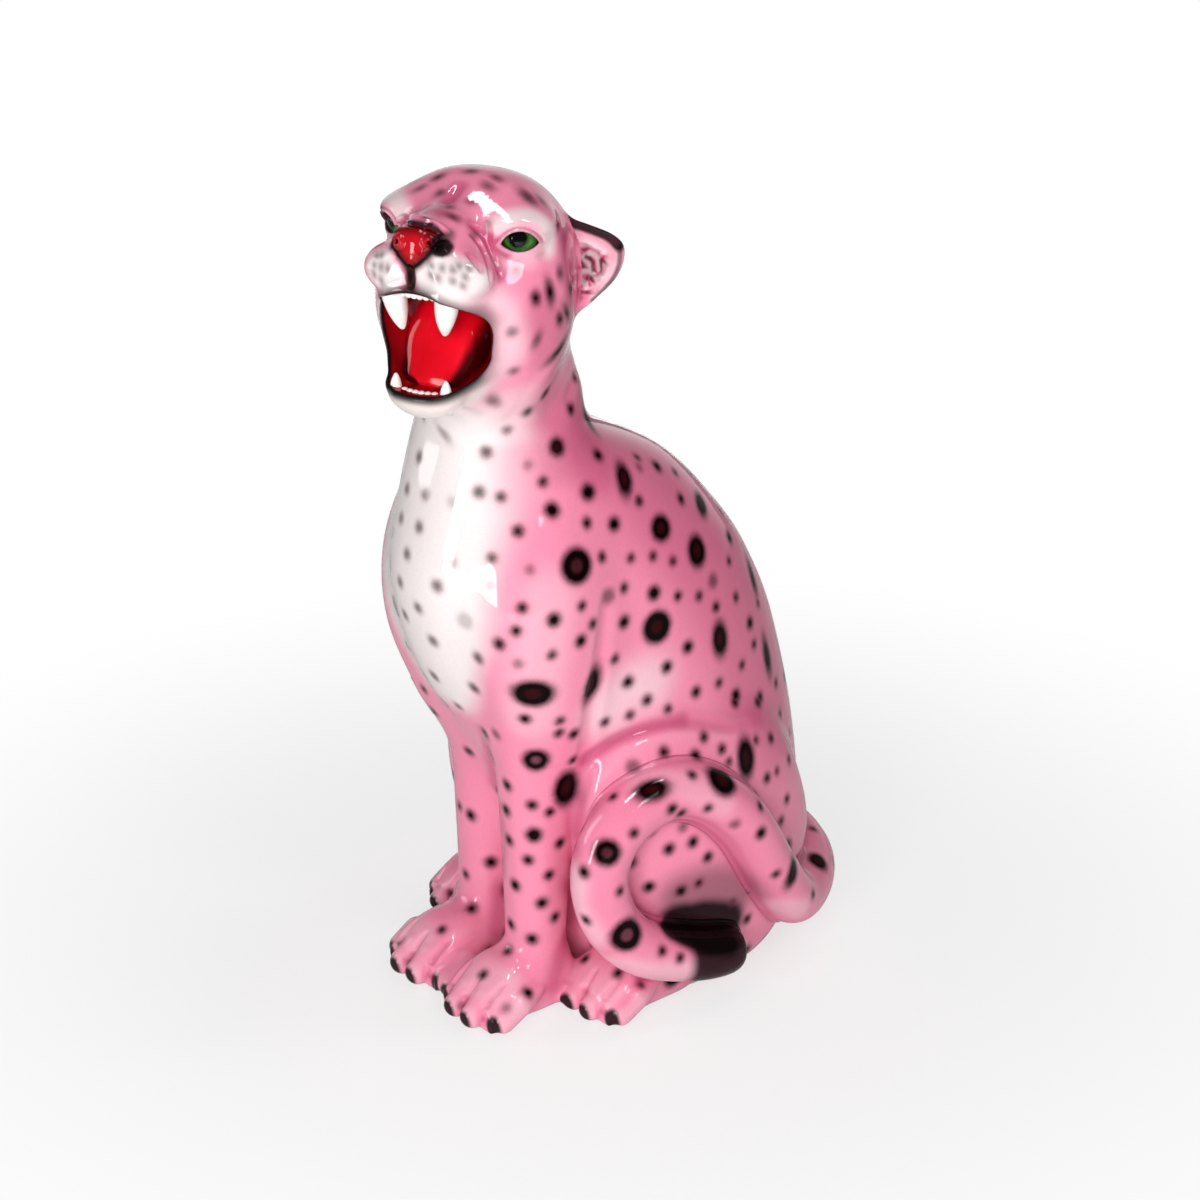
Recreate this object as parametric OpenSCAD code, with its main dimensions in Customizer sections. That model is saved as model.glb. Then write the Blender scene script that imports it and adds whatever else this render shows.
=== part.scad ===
// Sitting leopard ornament, slip-cast in glazed earthenware.
// The animal faces -Y, its left side is +X, and the floor is Z = 0.
// Each casting is a loft; a casting that is luted to another is cut by it, so the two meet face to face.

/* [Ceramic] */
// Thickness of the slip-cast wall
wall = 6; // [4:0.5:9]
// Diameter of the firing vent under the torso
vent_d = 16; // [8:1:24]
// How far behind the origin the vent lies
vent_y = 62; // [40:1:80]

/* [Felt pads] */
// Thickness of a felt pad, which lifts the ceramic off the floor
felt_t = 2; // [1:0.5:4]
// Diameter of a felt pad
felt_d = 24; // [16:1:30]

/* [Torso] */
// Height of the joint between neck and head
torso_h = 352; // [330:2:370]
// Full width of the rump
rump_w = 160; // [140:2:176]
// How far the rump reaches behind the origin
rump_back = 109; // [102:1:116]
// Height of the fullest part of the chest
chest_h = 256; // [240:2:268]
// How far the chest reaches in front of the origin
chest_front = 143; // [132:1:150]
// Full width of the chest
chest_w = 132; // [118:2:144]
// Diameter of the neck
neck_d = 98; // [90:1:106]
// How far the neck stands in front of the origin
neck_y = 75; // [68:1:82]
// Full width of a shoulder's muscle
shoulder_w = 58; // [50:1:62]
// Full length of a shoulder's muscle from front to back
shoulder_l = 72; // [64:1:78]
// Full height of a shoulder's muscle
shoulder_tall = 132; // [120:1:140]

/* [Forelegs] */
// Distance of a foreleg from the middle plane
foreleg_x = 32; // [29:1:36]
// How far the left foreleg stands in front of the origin
foreleg_y = 85; // [80:1:90]
// How far the right foreleg stands behind the left one
stride = 10; // [0:1:14]
// Diameter of a foreleg above the wrist
foreleg_d = 35; // [32:1:40]
// How far the right forepaw reaches in front of the origin
forepaw_front = 138; // [132:1:144]
// How far the left forepaw reaches ahead of the right one
paw_lead = 4; // [0:1:8]
// Width of a forepaw
forepaw_w = 52; // [44:1:54]
// Height of a forepaw over its instep
forepaw_h = 34; // [30:1:40]

/* [Haunches] */
// Distance of a thigh's middle from the middle plane
haunch_x = 60; // [56:1:64]
// Width of a thigh
haunch_w = 62; // [54:1:70]
// Height of a thigh
haunch_h = 180; // [165:1:190]
// How far the knee reaches in front of the origin
knee_front = 74; // [66:1:82]
// How far the thigh reaches behind the origin
thigh_back = 86; // [78:1:92]

/* [Hind paws] */
// Distance of a hind paw from the middle plane
hindpaw_x = 68; // [64:1:74]
// How far the hind toes reach in front of the origin
hindpaw_front = 83; // [76:1:88]
// Width of a hind paw
hindpaw_w = 50; // [42:1:54]
// Height of a hind paw over its instep
hindpaw_h = 36; // [32:1:42]

/* [Tail] */
// Diameter of the tail along its middle
tail_d = 32; // [28:1:35]
// Distance of the curled tail from the middle plane
tail_x = 94; // [90:1:98]

/* [Head] */
// Turn of the head to the animal's left
head_yaw = 25; // [0:1:35]
// Height of the eyes above the neck joint
eye_rise = 99; // [92:1:104]
// How far the eyes lie in front of the neck's axis
head_reach = 51; // [46:1:56]
// Full width of the skull
skull_w = 98; // [90:1:106]
// How far the muzzle reaches in front of the eyes
muzzle_l = 47; // [41:1:52]
// Full width of the muzzle
muzzle_w = 49; // [44:1:54]
// How far the chin hangs below the eyes
chin_drop = 85; // [82:1:90]

/* [Mouth] */
// Full width of the mouth between its corners
mouth_w = 60; // [52:1:64]
// How far the roof of the mouth lies below the eyes
mouth_roof = 18; // [16:1:21]
// How far the floor of the mouth lies below the eyes
mouth_floor = 73; // [68:1:75]
// Length of an upper fang
fang_l = 20; // [15:1:24]
// Diameter of an upper fang at its root
fang_d = 11.5; // [9:0.5:12]
// Distance between the upper fangs
fang_gap = 31; // [28:1:34]
// Length of a lower fang
lower_fang_l = 8; // [6:1:11]
// Diameter of a lower fang at its root
lower_fang_d = 6; // [5:0.5:8]

/* [Ears and eyes] */
// Height of an ear
ear_h = 50; // [42:1:56]
// How far an ear stands out from its root
ear_w = 31; // [26:1:35]
// How far an ear's root lies behind the eyes
ear_back = 44; // [40:1:47]
// How far the top of an ear's root lies above the eyes
ear_top = 6; // [3:1:9]
// How far an ear leans back for each millimetre that it stands out
ear_lean = 0.55; // [0.4:0.05:0.7]
// How far an eye's middle lies inside the side of the skull
eye_inset = 16.5; // [15:0.5:18]
// How far an eye's middle lies above the height that the head is drawn from
eye_lift = 3; // [1:1:5]
// Diameter of a glass eye
eye_d = 21; // [17:1:24]

/* [Hidden] */
LEFT = 1;
RIGHT = -1;
glaze_pink = "#EE82AC";
glaze_red = "#C8001E";
tooth_white = "#F6F2EC";
eye_green = "#3F7D34";
felt_black = "#26221F";

// Curves and lofts

// Item i of a list, with the ends repeated past the ends
function knot(list, i) = list[max(0, min(len(list) - 1, i))];

// A smooth curve through the list's items at u = 0, 1, 2, and so on
function through(list, u) =
    let (
        i = min(floor(u), len(list) - 2), t = u - i,
        a = knot(list, i - 1), b = knot(list, i), c = knot(list, i + 1), d = knot(list, i + 2)
    )
    0.5 * (2 * b + (c - a) * t + (2 * a - 5 * b + 4 * c - d) * t * t + (3 * b - a - 3 * c + d) * t * t * t);

// The curve cut into a number of equal steps
function smooth(list, steps) = [for (k = [0 : steps]) through(list, k * (len(list) - 1) / steps)];

// Cosine and sine raised to a power that keeps their sign: 1 gives an ellipse, less a squarer outline
function squared(v, power) = sign(v) * pow(abs(v), power);

// Points of a ring around the origin, wider towards +Y by the share egg
function oval(half_x, half_y, egg, power, sides) = [
    for (k = [0 : sides - 1])
        let (c = squared(cos(360 * k / sides), power), s = squared(sin(360 * k / sides), power))
        [half_x * c * (1 + egg * s), half_y * s]
];

// Closed skin over a row of rings with as many points each
module skin(rings) {
    sides = len(rings[0]);
    last = len(rings) - 1;
    first_cap = sides * (last + 1);
    points = concat([for (ring = rings) each ring], [mean(rings[0]), mean(rings[last])]);
    walls = [
        for (i = [0 : last - 1], j = [0 : sides - 1])
            let (
                a = i * sides + j, b = i * sides + (j + 1) % sides,
                c = a + sides, d = b + sides
            )
            each [[a, c, d], [a, d, b]]
    ];
    caps = [
        for (j = [0 : sides - 1])
            let (k = (j + 1) % sides)
            each [[first_cap, j, k], [first_cap + 1, last * sides + k, last * sides + j]]
    ];
    polyhedron(points, concat(walls, caps));
}

function mean(ring) = [for (p = ring) 1] * ring / len(ring);

// Loft of level sections: each station is [height, front y, back y, half width, egg, x of the middle]
module upright_loft(stations, steps, sides, power = 0.92) {
    skin([
        for (s = smooth(stations, steps))
            [
                for (p = oval(s[3], (s[2] - s[1]) / 2, s[4], power, sides))
                    [p[0] + s[5], p[1] + (s[1] + s[2]) / 2, s[0]]
            ]
    ]);
}

// Loft that runs forward along -Y: each station is [reach forward, bottom, top, half width, egg]
module forward_loft(stations, steps, sides, power = 0.92, lowest = -1000) {
    skin([
        for (s = smooth(stations, steps))
            [
                for (p = oval(s[3], (s[2] - s[1]) / 2, s[4], power, sides))
                    [p[0], -s[0], max(lowest, p[1] + (s[1] + s[2]) / 2)]
            ]
    ]);
}

// Tube of changing radius: each station is [x, y, z, radius]
module tapered_tube(stations, steps, sides) {
    line = smooth(stations, steps);
    tangents = [for (k = [0 : steps]) unit(place(knot(line, k + 1)) - place(knot(line, k - 1)))];
    normals = carried([unit(cross(tangents[0], [0, 0, 1]))], tangents);
    skin([
        for (k = [0 : steps])
            let (n = normals[k], b = cross(tangents[k], n))
            [
                for (j = [0 : sides - 1])
                    let (turn = 360 * j / sides)
                    place(line[k]) + line[k][3] * (n * cos(turn) + b * sin(turn))
            ]
    ]);
}

function place(station) = [station[0], station[1], station[2]];
function unit(v) = v / norm(v);

// One normal for each tangent, carried along so that the tube doesn't twist
function carried(found, tangents) =
    len(found) == len(tangents)
    ? found
    : let (t = tangents[len(found)], n = found[len(found) - 1])
      carried(concat(found, [unit(n - (n * t) * t)]), tangents);

// One mesh of a cut form
module carved() {
    minkowski() {
        difference() {
            children(0);
            children([1 : $children - 1]);
        }
    }
}

// One mesh of forms that run into each other
module fused() {
    minkowski() {
        union() children();
    }
}

// What is drawn on the left, and its mirror image on the right
module both_sides() {
    children();
    mirror([1, 0, 0]) children();
}

module ellipsoid(half_x, half_y, half_z, sides = 18) {
    scale([half_x, half_y, half_z]) sphere(1, $fn = sides);
}

// Torso

base_z = felt_t;
shoulder_h = (chest_h + torso_h) / 2;
flank_h = chest_h - 62;
rump_h = 70;
neck_r = neck_d / 2;
neck_front = neck_y + neck_r;
nape = neck_r - neck_y;
shoulder_r = (chest_w / 2 + neck_r) / 2;

// The torso's outer sections, drawn in by the share of the wall that is asked for
function torso_stations(inset) = [
    [base_z + inset, -48 + inset, rump_back - 42 - inset, rump_w / 2 - 24 - inset, 0, 0],
    [base_z + 16 + inset, -58 + inset, rump_back - 12 - inset, rump_w / 2 - 8 - inset, 0, 0],
    [rump_h, -68 + inset, rump_back - inset, rump_w / 2 - inset, 0.02, 0],
    [rump_h + 62, -89 + inset, rump_back - 3 - inset, rump_w / 2 - 3 - inset, 0.04, 0],
    [flank_h, -125 + inset, rump_back - 16 - inset, (rump_w + chest_w) / 4 + 1 - inset, 0.05, 0],
    [chest_h - 24, -chest_front + 4 + inset, rump_back - 31 - inset, chest_w / 2 + 5 - inset, 0.04, 0],
    [chest_h + 8, -chest_front + inset, rump_back - 51 - inset, chest_w / 2 + 1 - inset, 0.02, 0],
    [shoulder_h, -chest_front + 8 + inset, -neck_y + 96 - inset, shoulder_r - inset, -0.04, 0],
    [torso_h - 18, -neck_front - 2 + inset, nape - 4 - inset, neck_r - 2 - inset, -0.06, 0],
    [torso_h + 8, -neck_front + 5 + inset, nape - 13 - inset, neck_r - 10 - inset, 0, 0],
    [torso_h + 36 - inset, -neck_front + 18 + inset, nape - 22 - inset, neck_r - 18 - inset, 0, 0],
    [torso_h + 50 - inset, -neck_front + 32 + inset, nape - 33 - inset, neck_r - 33 - inset, 0, 0]
];

// Muscles that swell the chest over the forelegs and run up into the neck
module shoulders(inset, sides) {
    hull() {
        for (side = [LEFT, RIGHT])
            translate([side * (foreleg_x + 13), -foreleg_y - 4, chest_h - 20])
            ellipsoid(shoulder_w / 2 - inset, shoulder_l / 2 - inset, shoulder_tall / 2 - inset, sides);
        translate([0, -neck_y - 4, torso_h - 24])
            ellipsoid(neck_r - 6 - inset, neck_r - 6 - inset, 14 - inset, sides);
    }
}

module torso_form() {
    fused() {
        upright_loft(torso_stations(0), 38, 32);
        shoulders(0, 26);
    }
}

// What the wall leaves hollow
module torso_hollow() {
    fused() {
        upright_loft(torso_stations(wall), 18, 18);
        shoulders(wall, 14);
    }
}

module torso() {
    color(glaze_pink)
    difference() {
        torso_form();
        torso_hollow();
        translate([0, vent_y, base_z - 1]) cylinder(h = wall + 2, d = vent_d, $fn = 48);
    }
}

// Paws

// Four toes side by side on the front of a paw that is w wide and reaches to front
module toes(front, w, h) {
    toe_r = w / 7;
    for (k = [-1.5 : 1.5]) {
        back_set = 4 * k * k;
        hull() {
            translate([k * w / 3.7, -front + toe_r + back_set, base_z + toe_r * 1.02])
                sphere(toe_r, $fn = 12);
            translate([k * w / 4.4, -front + 3.6 * toe_r + back_set, base_z + h * 0.54])
                sphere(toe_r * 1.05, $fn = 12);
        }
    }
}

// Paw with a flat sole: from the heel at back to the toes at front
module paw(front, back, w, h) {
    mid = (front + back) / 2;
    forward_loft([
        [back - 4, base_z + h * 0.15, base_z + h * 0.6, w * 0.2, 0],
        [back + 5, base_z, base_z + h * 0.98, w * 0.36, 0],
        [mid, base_z, base_z + h * 0.98, w * 0.41, -0.05],
        [front - w * 0.4, base_z, base_z + h * 0.7, w * 0.47, -0.1],
        [front - w * 0.16, base_z, base_z + h * 0.46, w * 0.4, -0.1]
    ], 11, 20, 0.8, base_z);
    toes(front, w, h);
}

// Forelegs

shoulder_top = chest_h - 26;

function forepaw_reach(side) = side == LEFT ? forepaw_front + paw_lead : forepaw_front;

module foreleg_form(side) {
    leg_r = foreleg_d / 2;
    leg_y = side == LEFT ? foreleg_y : foreleg_y - stride;
    translate([side * foreleg_x, 0, 0]) {
        upright_loft([
            [base_z + 6, -leg_y - leg_r, -leg_y + leg_r, leg_r, 0, 0],
            [base_z + forepaw_h, -leg_y - leg_r + 1, -leg_y + leg_r - 1, leg_r - 1, 0, 0],
            [base_z + 88, -leg_y - leg_r, -leg_y + leg_r + 3, leg_r + 1, 0, 0],
            [base_z + 134, -leg_y - leg_r - 3, -leg_y + leg_r + 12, leg_r + 4, 0, side],
            [base_z + 176, -foreleg_y - leg_r - 8, -foreleg_y + leg_r + 22, leg_r + 8, 0, side * 4],
            [shoulder_top, -foreleg_y - leg_r - 4, -foreleg_y + leg_r + 22, leg_r + 5, 0, side * 6],
            [shoulder_top + 24, -foreleg_y - leg_r + 14, -foreleg_y + leg_r + 6, leg_r - 7, 0, side * 5]
        ], 20, 20);
        paw(forepaw_reach(side), leg_y - leg_r + 2, forepaw_w, forepaw_h);
    }
}

module foreleg(side) {
    color(glaze_pink)
    carved() {
        foreleg_form(side);
        torso_form();
    }
}

// Haunches and hind paws

module haunch_form(side) {
    translate([side * haunch_x, 0, 0])
    upright_loft([
        [base_z, -knee_front + 38, thigh_back - 46, haunch_w / 2 - 13, 0, 0],
        [base_z + 18, -knee_front + 26, thigh_back - 20, haunch_w / 2 - 4, 0, 0],
        [haunch_h * 0.4, -knee_front + 8, thigh_back, haunch_w / 2 + 1, 0, 0],
        [haunch_h * 0.68, -knee_front, thigh_back - 12, haunch_w / 2, 0, 0],
        [haunch_h * 0.88, -knee_front + 10, thigh_back - 36, haunch_w / 2 - 7, 0, 0],
        [haunch_h, -knee_front + 40, thigh_back - 72, haunch_w / 2 - 20, 0, 0]
    ], 17, 24);
}

module haunch(side) {
    color(glaze_pink)
    carved() {
        haunch_form(side);
        torso_form();
        foreleg_form(side);
    }
}

module hind_paw_form(side) {
    translate([side * hindpaw_x, 0, 0]) paw(hindpaw_front, 12, hindpaw_w, hindpaw_h);
}

module hind_paw(side) {
    color(glaze_pink)
    carved() {
        hind_paw_form(side);
        haunch_form(side);
        foreleg_form(side);
        torso_form();
    }
}

// Tail, from the root behind the rump, round the left haunch and back to its tip

tail_r = tail_d / 2;

module tail_form() {
    tapered_tube([
        [-14, rump_back - 26, 54, tail_r - 2],
        [16, rump_back - 3, 47, tail_r],
        [44, rump_back - 3, 40, tail_r + 1],
        [68, rump_back - 20, 37, tail_r + 1],
        [tail_x - 8, 62, 40, tail_r],
        [tail_x - 1, 36, 68, tail_r],
        [tail_x + 1, 12, 107, tail_r],
        [tail_x - 2, -12, 130, tail_r],
        [tail_x - 7, -38, 137, tail_r],
        [tail_x - 10, -66, 125, tail_r],
        [tail_x - 12, -78, 100, tail_r],
        [tail_x - 10, -73, 69, tail_r],
        [tail_x - 5, -54, 47, tail_r],
        [tail_x - 2, -25, 35, tail_r],
        [tail_x - 1, -2, 29, tail_r - 1],
        [tail_x - 2, 9, 27, tail_r - 4],
        [tail_x - 2, 15, 26, tail_r - 12]
    ], 60, 12);
}

module tail() {
    color(glaze_pink)
    carved() {
        tail_form();
        torso_form();
        haunch_form(LEFT);
        hind_paw_form(LEFT);
    }
}

// Head, drawn with the point between the eyes at the origin

eye_z = torso_h + eye_rise;

module on_head() {
    translate([0, -neck_y, eye_z]) rotate([0, 0, head_yaw]) translate([0, -head_reach, 0]) children();
}

skull_r = skull_w / 2;
eye_x = skull_r - eye_inset;
muzzle_r = muzzle_w / 2;

module skull_form() {
    forward_loft([
        [-68, -52, -16, 14, 0],
        [-61, -88, 6, skull_r - 15, 0.05],
        [-42, -112, 25, skull_r - 4, 0.1],
        [-18, -114, 31, skull_r, 0.12],
        [-2, -104, 26, skull_r - 6, 0.08],
        [10, -chin_drop - 9, 17, skull_r - 13, 0.04],
        [22, -chin_drop - 3, 14, muzzle_r + 7, 0.02],
        [34, -chin_drop, 12, muzzle_r + 2, 0.02],
        [muzzle_l - 5, -chin_drop + 2, 10, muzzle_r - 3, 0],
        [muzzle_l, -chin_drop + 8, 4, muzzle_r - 8, 0]
    ], 26, 28, 0.84);
}

module mouth_form() {
    half = mouth_w / 2;
    mid = (mouth_roof + mouth_floor) / 2;
    narrowing = 0.18;
    forward_loft([
        [2, -mid - 8, -mid + 8, half * 0.3, narrowing],
        [5, -mouth_floor + 7, -mouth_roof - 7, half * 0.75, narrowing],
        [12, -mouth_floor + 1, -mouth_roof - 1, half, narrowing],
        [26, -mouth_floor, -mouth_roof, half, narrowing],
        [muzzle_l + 12, -mouth_floor, -mouth_roof, half, narrowing]
    ], 10, 20, 0.7);
}

// Brow, bridge of the nose, whisker pads, nose and chin
module face_forms() {
    pad_x = muzzle_r * 0.78;
    hull() both_sides() translate([eye_x - 3.5, 8, eye_lift + 7]) ellipsoid(19, 18, 9);
    hull() both_sides() {
        translate([pad_x, -muzzle_l + 16, -mouth_roof + 8]) ellipsoid(16, 15.5, 12.5);
        translate([pad_x + 6, -10, -mouth_roof]) ellipsoid(9, 12, 16);
    }
    hull() {
        both_sides() translate([10, -muzzle_l + 6.5, 6.5]) ellipsoid(6, 7, 6.5);
        translate([0, -muzzle_l + 10, 8]) ellipsoid(13, 10, 9.5);
        translate([0, -muzzle_l + 4, -0.5]) ellipsoid(5, 5.5, 5.5);
    }
    translate([0, -18, 9]) ellipsoid(13, 27, 9);
    translate([0, -muzzle_l + 9, -chin_drop + 12]) ellipsoid(20, 11, 9.5);
}

module eye_place(side) {
    translate([side * eye_x, 5, eye_lift]) children();
}

module head_form() {
    skull_form();
    face_forms();
}

module head() {
    color(glaze_pink)
    carved() {
        on_head() head_form();
        on_head() mouth_form();
        on_head() eye_place(LEFT) eased() sphere(d = eye_d, $fn = 24);
        on_head() eye_place(RIGHT) eased() sphere(d = eye_d, $fn = 24);
        on_head() tooth_sockets();
        torso_form();
    }
}

module eye(side) {
    color(eye_green)
    on_head() eye_place(side) sphere(d = eye_d, $fn = 24);
}

// Ears

// Outline of an ear as shares of its reach and of its height, from the top of its root to the bottom
ear_fan = [
    [0, 0], [0.26, -0.05], [0.58, -0.14], [0.84, -0.22], [1, -0.34], [1, -0.52], [0.87, -0.71],
    [0.61, -0.9], [0.39, -1.03], [0, -1.12]
];
ear_x = skull_r - 15;
ear_t = 6;

// Draws on the leaning plane of an ear: x stands out from the root, y goes back and z goes up
module on_ear(side) {
    mirror([side == RIGHT ? 1 : 0, 0, 0])
    translate([ear_x, ear_back - 8 * ear_lean, ear_top])
    multmatrix([[1, 0, 0, 0], [ear_lean, 1, 0, 0], [0, 0, 1, 0], [0, 0, 0, 1]])
    children();
}

// Fan with a swollen back
module ear_form() {
    rotate([90, 0, 0])
    linear_extrude(ear_t, center = true)
    polygon([for (p = smooth(ear_fan, 24)) [p[0] * ear_w, p[1] * ear_h]]);
    translate([ear_w * 0.45, ear_t, -ear_h * 0.53]) ellipsoid(ear_w * 0.45, ear_t * 1.7, ear_h * 0.4, 20);
}

module ear(side) {
    color(glaze_pink)
    carved() {
        on_head() on_ear(side) ear_form();
        on_head() on_ear(side) translate([ear_w * 0.48, -ear_t / 3, -ear_h * 0.53])
            ellipsoid(ear_w * 0.41, ear_t * 1.6, ear_h * 0.36, 20);
        on_head() head_form();
        torso_form();
    }
}

// Teeth and tongue

fang_y = -muzzle_l + 7.5;
lower_fang_y = -muzzle_l + 5.5;
fang_drop = 2.5;
root_l = 5;
upper_row_w = fang_gap - fang_d - 1;
lower_row_w = fang_gap - lower_fang_d - 5;
upper_tooth_r = 2.6;
lower_tooth_r = 2.4;

// Pointed tooth that hangs from the origin, with a round root above it
module tooth(length, root_d, sides = 40) {
    rotate([180, 0, 0])
    rotate_extrude($fn = sides)
    polygon([
        [0, -root_l],
        [root_d * 0.36, -root_l],
        [root_d * 0.36, 0],
        [root_d * 0.5, 0],
        [root_d * 0.48, length * 0.25],
        [root_d * 0.4, length * 0.52],
        [root_d * 0.27, length * 0.78],
        [root_d * 0.16, length * 0.93],
        [root_d * 0.08, length * 0.985],
        [0, length]
    ]);
}

module upper_fang_place(side) {
    translate([side * fang_gap / 2, fang_y, -mouth_roof - fang_drop]) rotate([4, side * 4, 0]) children();
}

module lower_fang_place(side) {
    translate([side * (fang_gap / 2 - 1), lower_fang_y, -mouth_floor + 1]) rotate([180, 0, 0]) children();
}

// Six small teeth that rise from a bar let into the gum
module incisors(width, size) {
    count = 6;
    translate([-width / 2, -size, -size]) cube([width, 2 * size, size]);
    for (k = [0 : count - 1]) {
        x = (k + 0.5) * width / count - width / 2;
        translate([x, 0, 0]) scale([width / count / 2 / size, 0.8, 1]) sphere(size, $fn = 20);
    }
}

module upper_row_place() {
    translate([0, -muzzle_l + 4, -mouth_roof]) rotate([180, 0, 0]) children();
}

module lower_row_place() {
    translate([0, -muzzle_l + 3.5, -mouth_floor]) children();
}

// A socket's cutter, a little wider than what sits in it
module eased() {
    scale([1.018, 1.018, 1.005]) children();
}

// What the teeth take out of the gums
module tooth_sockets() {
    for (side = [LEFT, RIGHT]) {
        upper_fang_place(side) eased() tooth(fang_l, fang_d, 20);
        lower_fang_place(side) eased() tooth(lower_fang_l, lower_fang_d, 20);
    }
    upper_row_place() translate([-upper_row_w / 2, -upper_tooth_r, -upper_tooth_r])
        cube([upper_row_w, 2 * upper_tooth_r, 2 * upper_tooth_r]);
    lower_row_place() translate([-lower_row_w / 2, -lower_tooth_r, -lower_tooth_r])
        cube([lower_row_w, 2 * lower_tooth_r, 2 * lower_tooth_r]);
}

module upper_fang(side) {
    color(tooth_white)
    on_head() upper_fang_place(side) tooth(fang_l, fang_d);
}

module lower_fang(side) {
    color(tooth_white)
    on_head() lower_fang_place(side) tooth(lower_fang_l, lower_fang_d);
}

module upper_incisors() {
    color(tooth_white)
    on_head() upper_row_place() incisors(upper_row_w, upper_tooth_r);
}

module lower_incisors() {
    color(tooth_white)
    on_head() lower_row_place() incisors(lower_row_w, lower_tooth_r);
}

module tongue() {
    color(glaze_red)
    carved() {
        on_head()
        forward_loft([
            [-4, -mouth_floor + 7, -mouth_roof - 16, mouth_w * 0.2, 0],
            [2, -mouth_floor - 1, -mouth_roof - 9, mouth_w * 0.33, 0],
            [10, -mouth_floor - 3, -mouth_roof - 10, mouth_w * 0.36, 0],
            [17, -mouth_floor - 3, -mouth_roof - 16, mouth_w * 0.36, 0],
            [23, -mouth_floor - 3, -mouth_floor + 29, mouth_w * 0.33, 0],
            [28, -mouth_floor - 3, -mouth_floor + 17, mouth_w * 0.28, 0],
            [32, -mouth_floor - 2, -mouth_floor + 5, mouth_w * 0.18, 0]
        ], 16, 18);
        on_head() difference() {
            head_form();
            mouth_form();
        }
    }
}

// Felt pads: one under the middle of the torso and one under each paw

module felt_pads() {
    color(felt_black)
    for (at = [
        [0, 0],
        [foreleg_x, -forepaw_reach(LEFT) + 36], [-foreleg_x, -forepaw_reach(RIGHT) + 36],
        [hindpaw_x, -hindpaw_front + 34], [-hindpaw_x, -hindpaw_front + 34]
    ])
        translate(at) cylinder(h = felt_t, d = felt_d, $fn = 48);
}

torso();
head();
ear(LEFT);  // left_ear
ear(RIGHT);  // right_ear
foreleg(LEFT);  // left_foreleg
foreleg(RIGHT);  // right_foreleg
haunch(LEFT);  // left_haunch
haunch(RIGHT);  // right_haunch
hind_paw(LEFT);  // left_hind_paw
hind_paw(RIGHT);  // right_hind_paw
tail();
tongue();
upper_fang(LEFT);  // upper_left_fang
upper_fang(RIGHT);  // upper_right_fang
lower_fang(LEFT);  // lower_left_fang
lower_fang(RIGHT);  // lower_right_fang
upper_incisors();
lower_incisors();
eye(LEFT);  // left_eye
eye(RIGHT);  // right_eye
felt_pads();
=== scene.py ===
"""Dresses the sitting leopard ornament: glazed castings, painted coat, teeth, glass eyes and felt pads."""

import functools
import math

import bmesh
import bpy
import numpy as np
import openvdb
from bpy.types import Operator, Panel, PropertyGroup
from mathutils import Matrix, Vector


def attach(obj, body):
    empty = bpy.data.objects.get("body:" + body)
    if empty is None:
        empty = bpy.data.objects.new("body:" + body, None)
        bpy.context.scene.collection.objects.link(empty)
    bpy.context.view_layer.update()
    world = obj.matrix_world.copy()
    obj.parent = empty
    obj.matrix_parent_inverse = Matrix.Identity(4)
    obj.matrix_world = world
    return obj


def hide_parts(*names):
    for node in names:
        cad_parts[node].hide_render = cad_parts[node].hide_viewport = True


bl_info = {
    "name": "Sitting Leopard Ornament",
    "version": (1, 0, 0),
    "blender": (4, 5, 0),
    "location": "View3D > Sidebar > Leopard",
    "description": "Builds a glazed earthenware leopard around its CAD frame",
    "category": "Object",
}

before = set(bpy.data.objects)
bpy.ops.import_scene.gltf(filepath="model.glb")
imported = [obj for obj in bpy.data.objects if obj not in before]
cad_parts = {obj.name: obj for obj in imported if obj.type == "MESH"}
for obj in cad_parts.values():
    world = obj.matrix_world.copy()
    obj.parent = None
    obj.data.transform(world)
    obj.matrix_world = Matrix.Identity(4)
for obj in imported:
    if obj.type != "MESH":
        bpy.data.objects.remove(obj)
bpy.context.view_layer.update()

MM = 0.001
LEFT = 1
RIGHT = -1
SIDES = (LEFT, RIGHT)
SIDE_NAMES = {LEFT: "left", RIGHT: "right"}
SEED = 41

# Photo camera, in mm: it looks down at the animal's left front

PHOTO_AZIMUTH = 52.0
PHOTO_ELEVATION = 23.0
PHOTO_DISTANCE = 1650.0
PHOTO_TARGET = np.array((45.0, -49.0, 240.0))
PHOTO_PIXELS = 1200
PHOTO_PIXELS_PER_MM = 1.85
SENSOR_MM = 36.0

_azimuth = math.radians(PHOTO_AZIMUTH)
_elevation = math.radians(PHOTO_ELEVATION)
VIEW_BACK = np.array((
    math.sin(_azimuth) * math.cos(_elevation),
    -math.cos(_azimuth) * math.cos(_elevation),
    math.sin(_elevation),
))
VIEW_RIGHT = np.array((math.cos(_azimuth), math.sin(_azimuth), 0.0))
VIEW_UP = np.cross(VIEW_BACK, VIEW_RIGHT)
PHOTO_EYE = PHOTO_TARGET + VIEW_BACK * PHOTO_DISTANCE
FOCAL_PIXELS = PHOTO_PIXELS_PER_MM * PHOTO_DISTANCE


def unit(vectors):
    """Vectors scaled to length one."""
    return vectors / np.maximum(np.linalg.norm(vectors, axis=-1), 1e-6)[..., None]


def photo_rays(pixels):
    """Unit directions from the photo's eye through pixels."""
    pixels = np.asarray(pixels, float)
    across = (pixels[:, 0] - PHOTO_PIXELS / 2)[:, None] * VIEW_RIGHT
    down = (PHOTO_PIXELS / 2 - pixels[:, 1])[:, None] * VIEW_UP
    return unit(across + down - VIEW_BACK * FOCAL_PIXELS)


# Sizes of the castings in mm, as in the part's source

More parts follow.
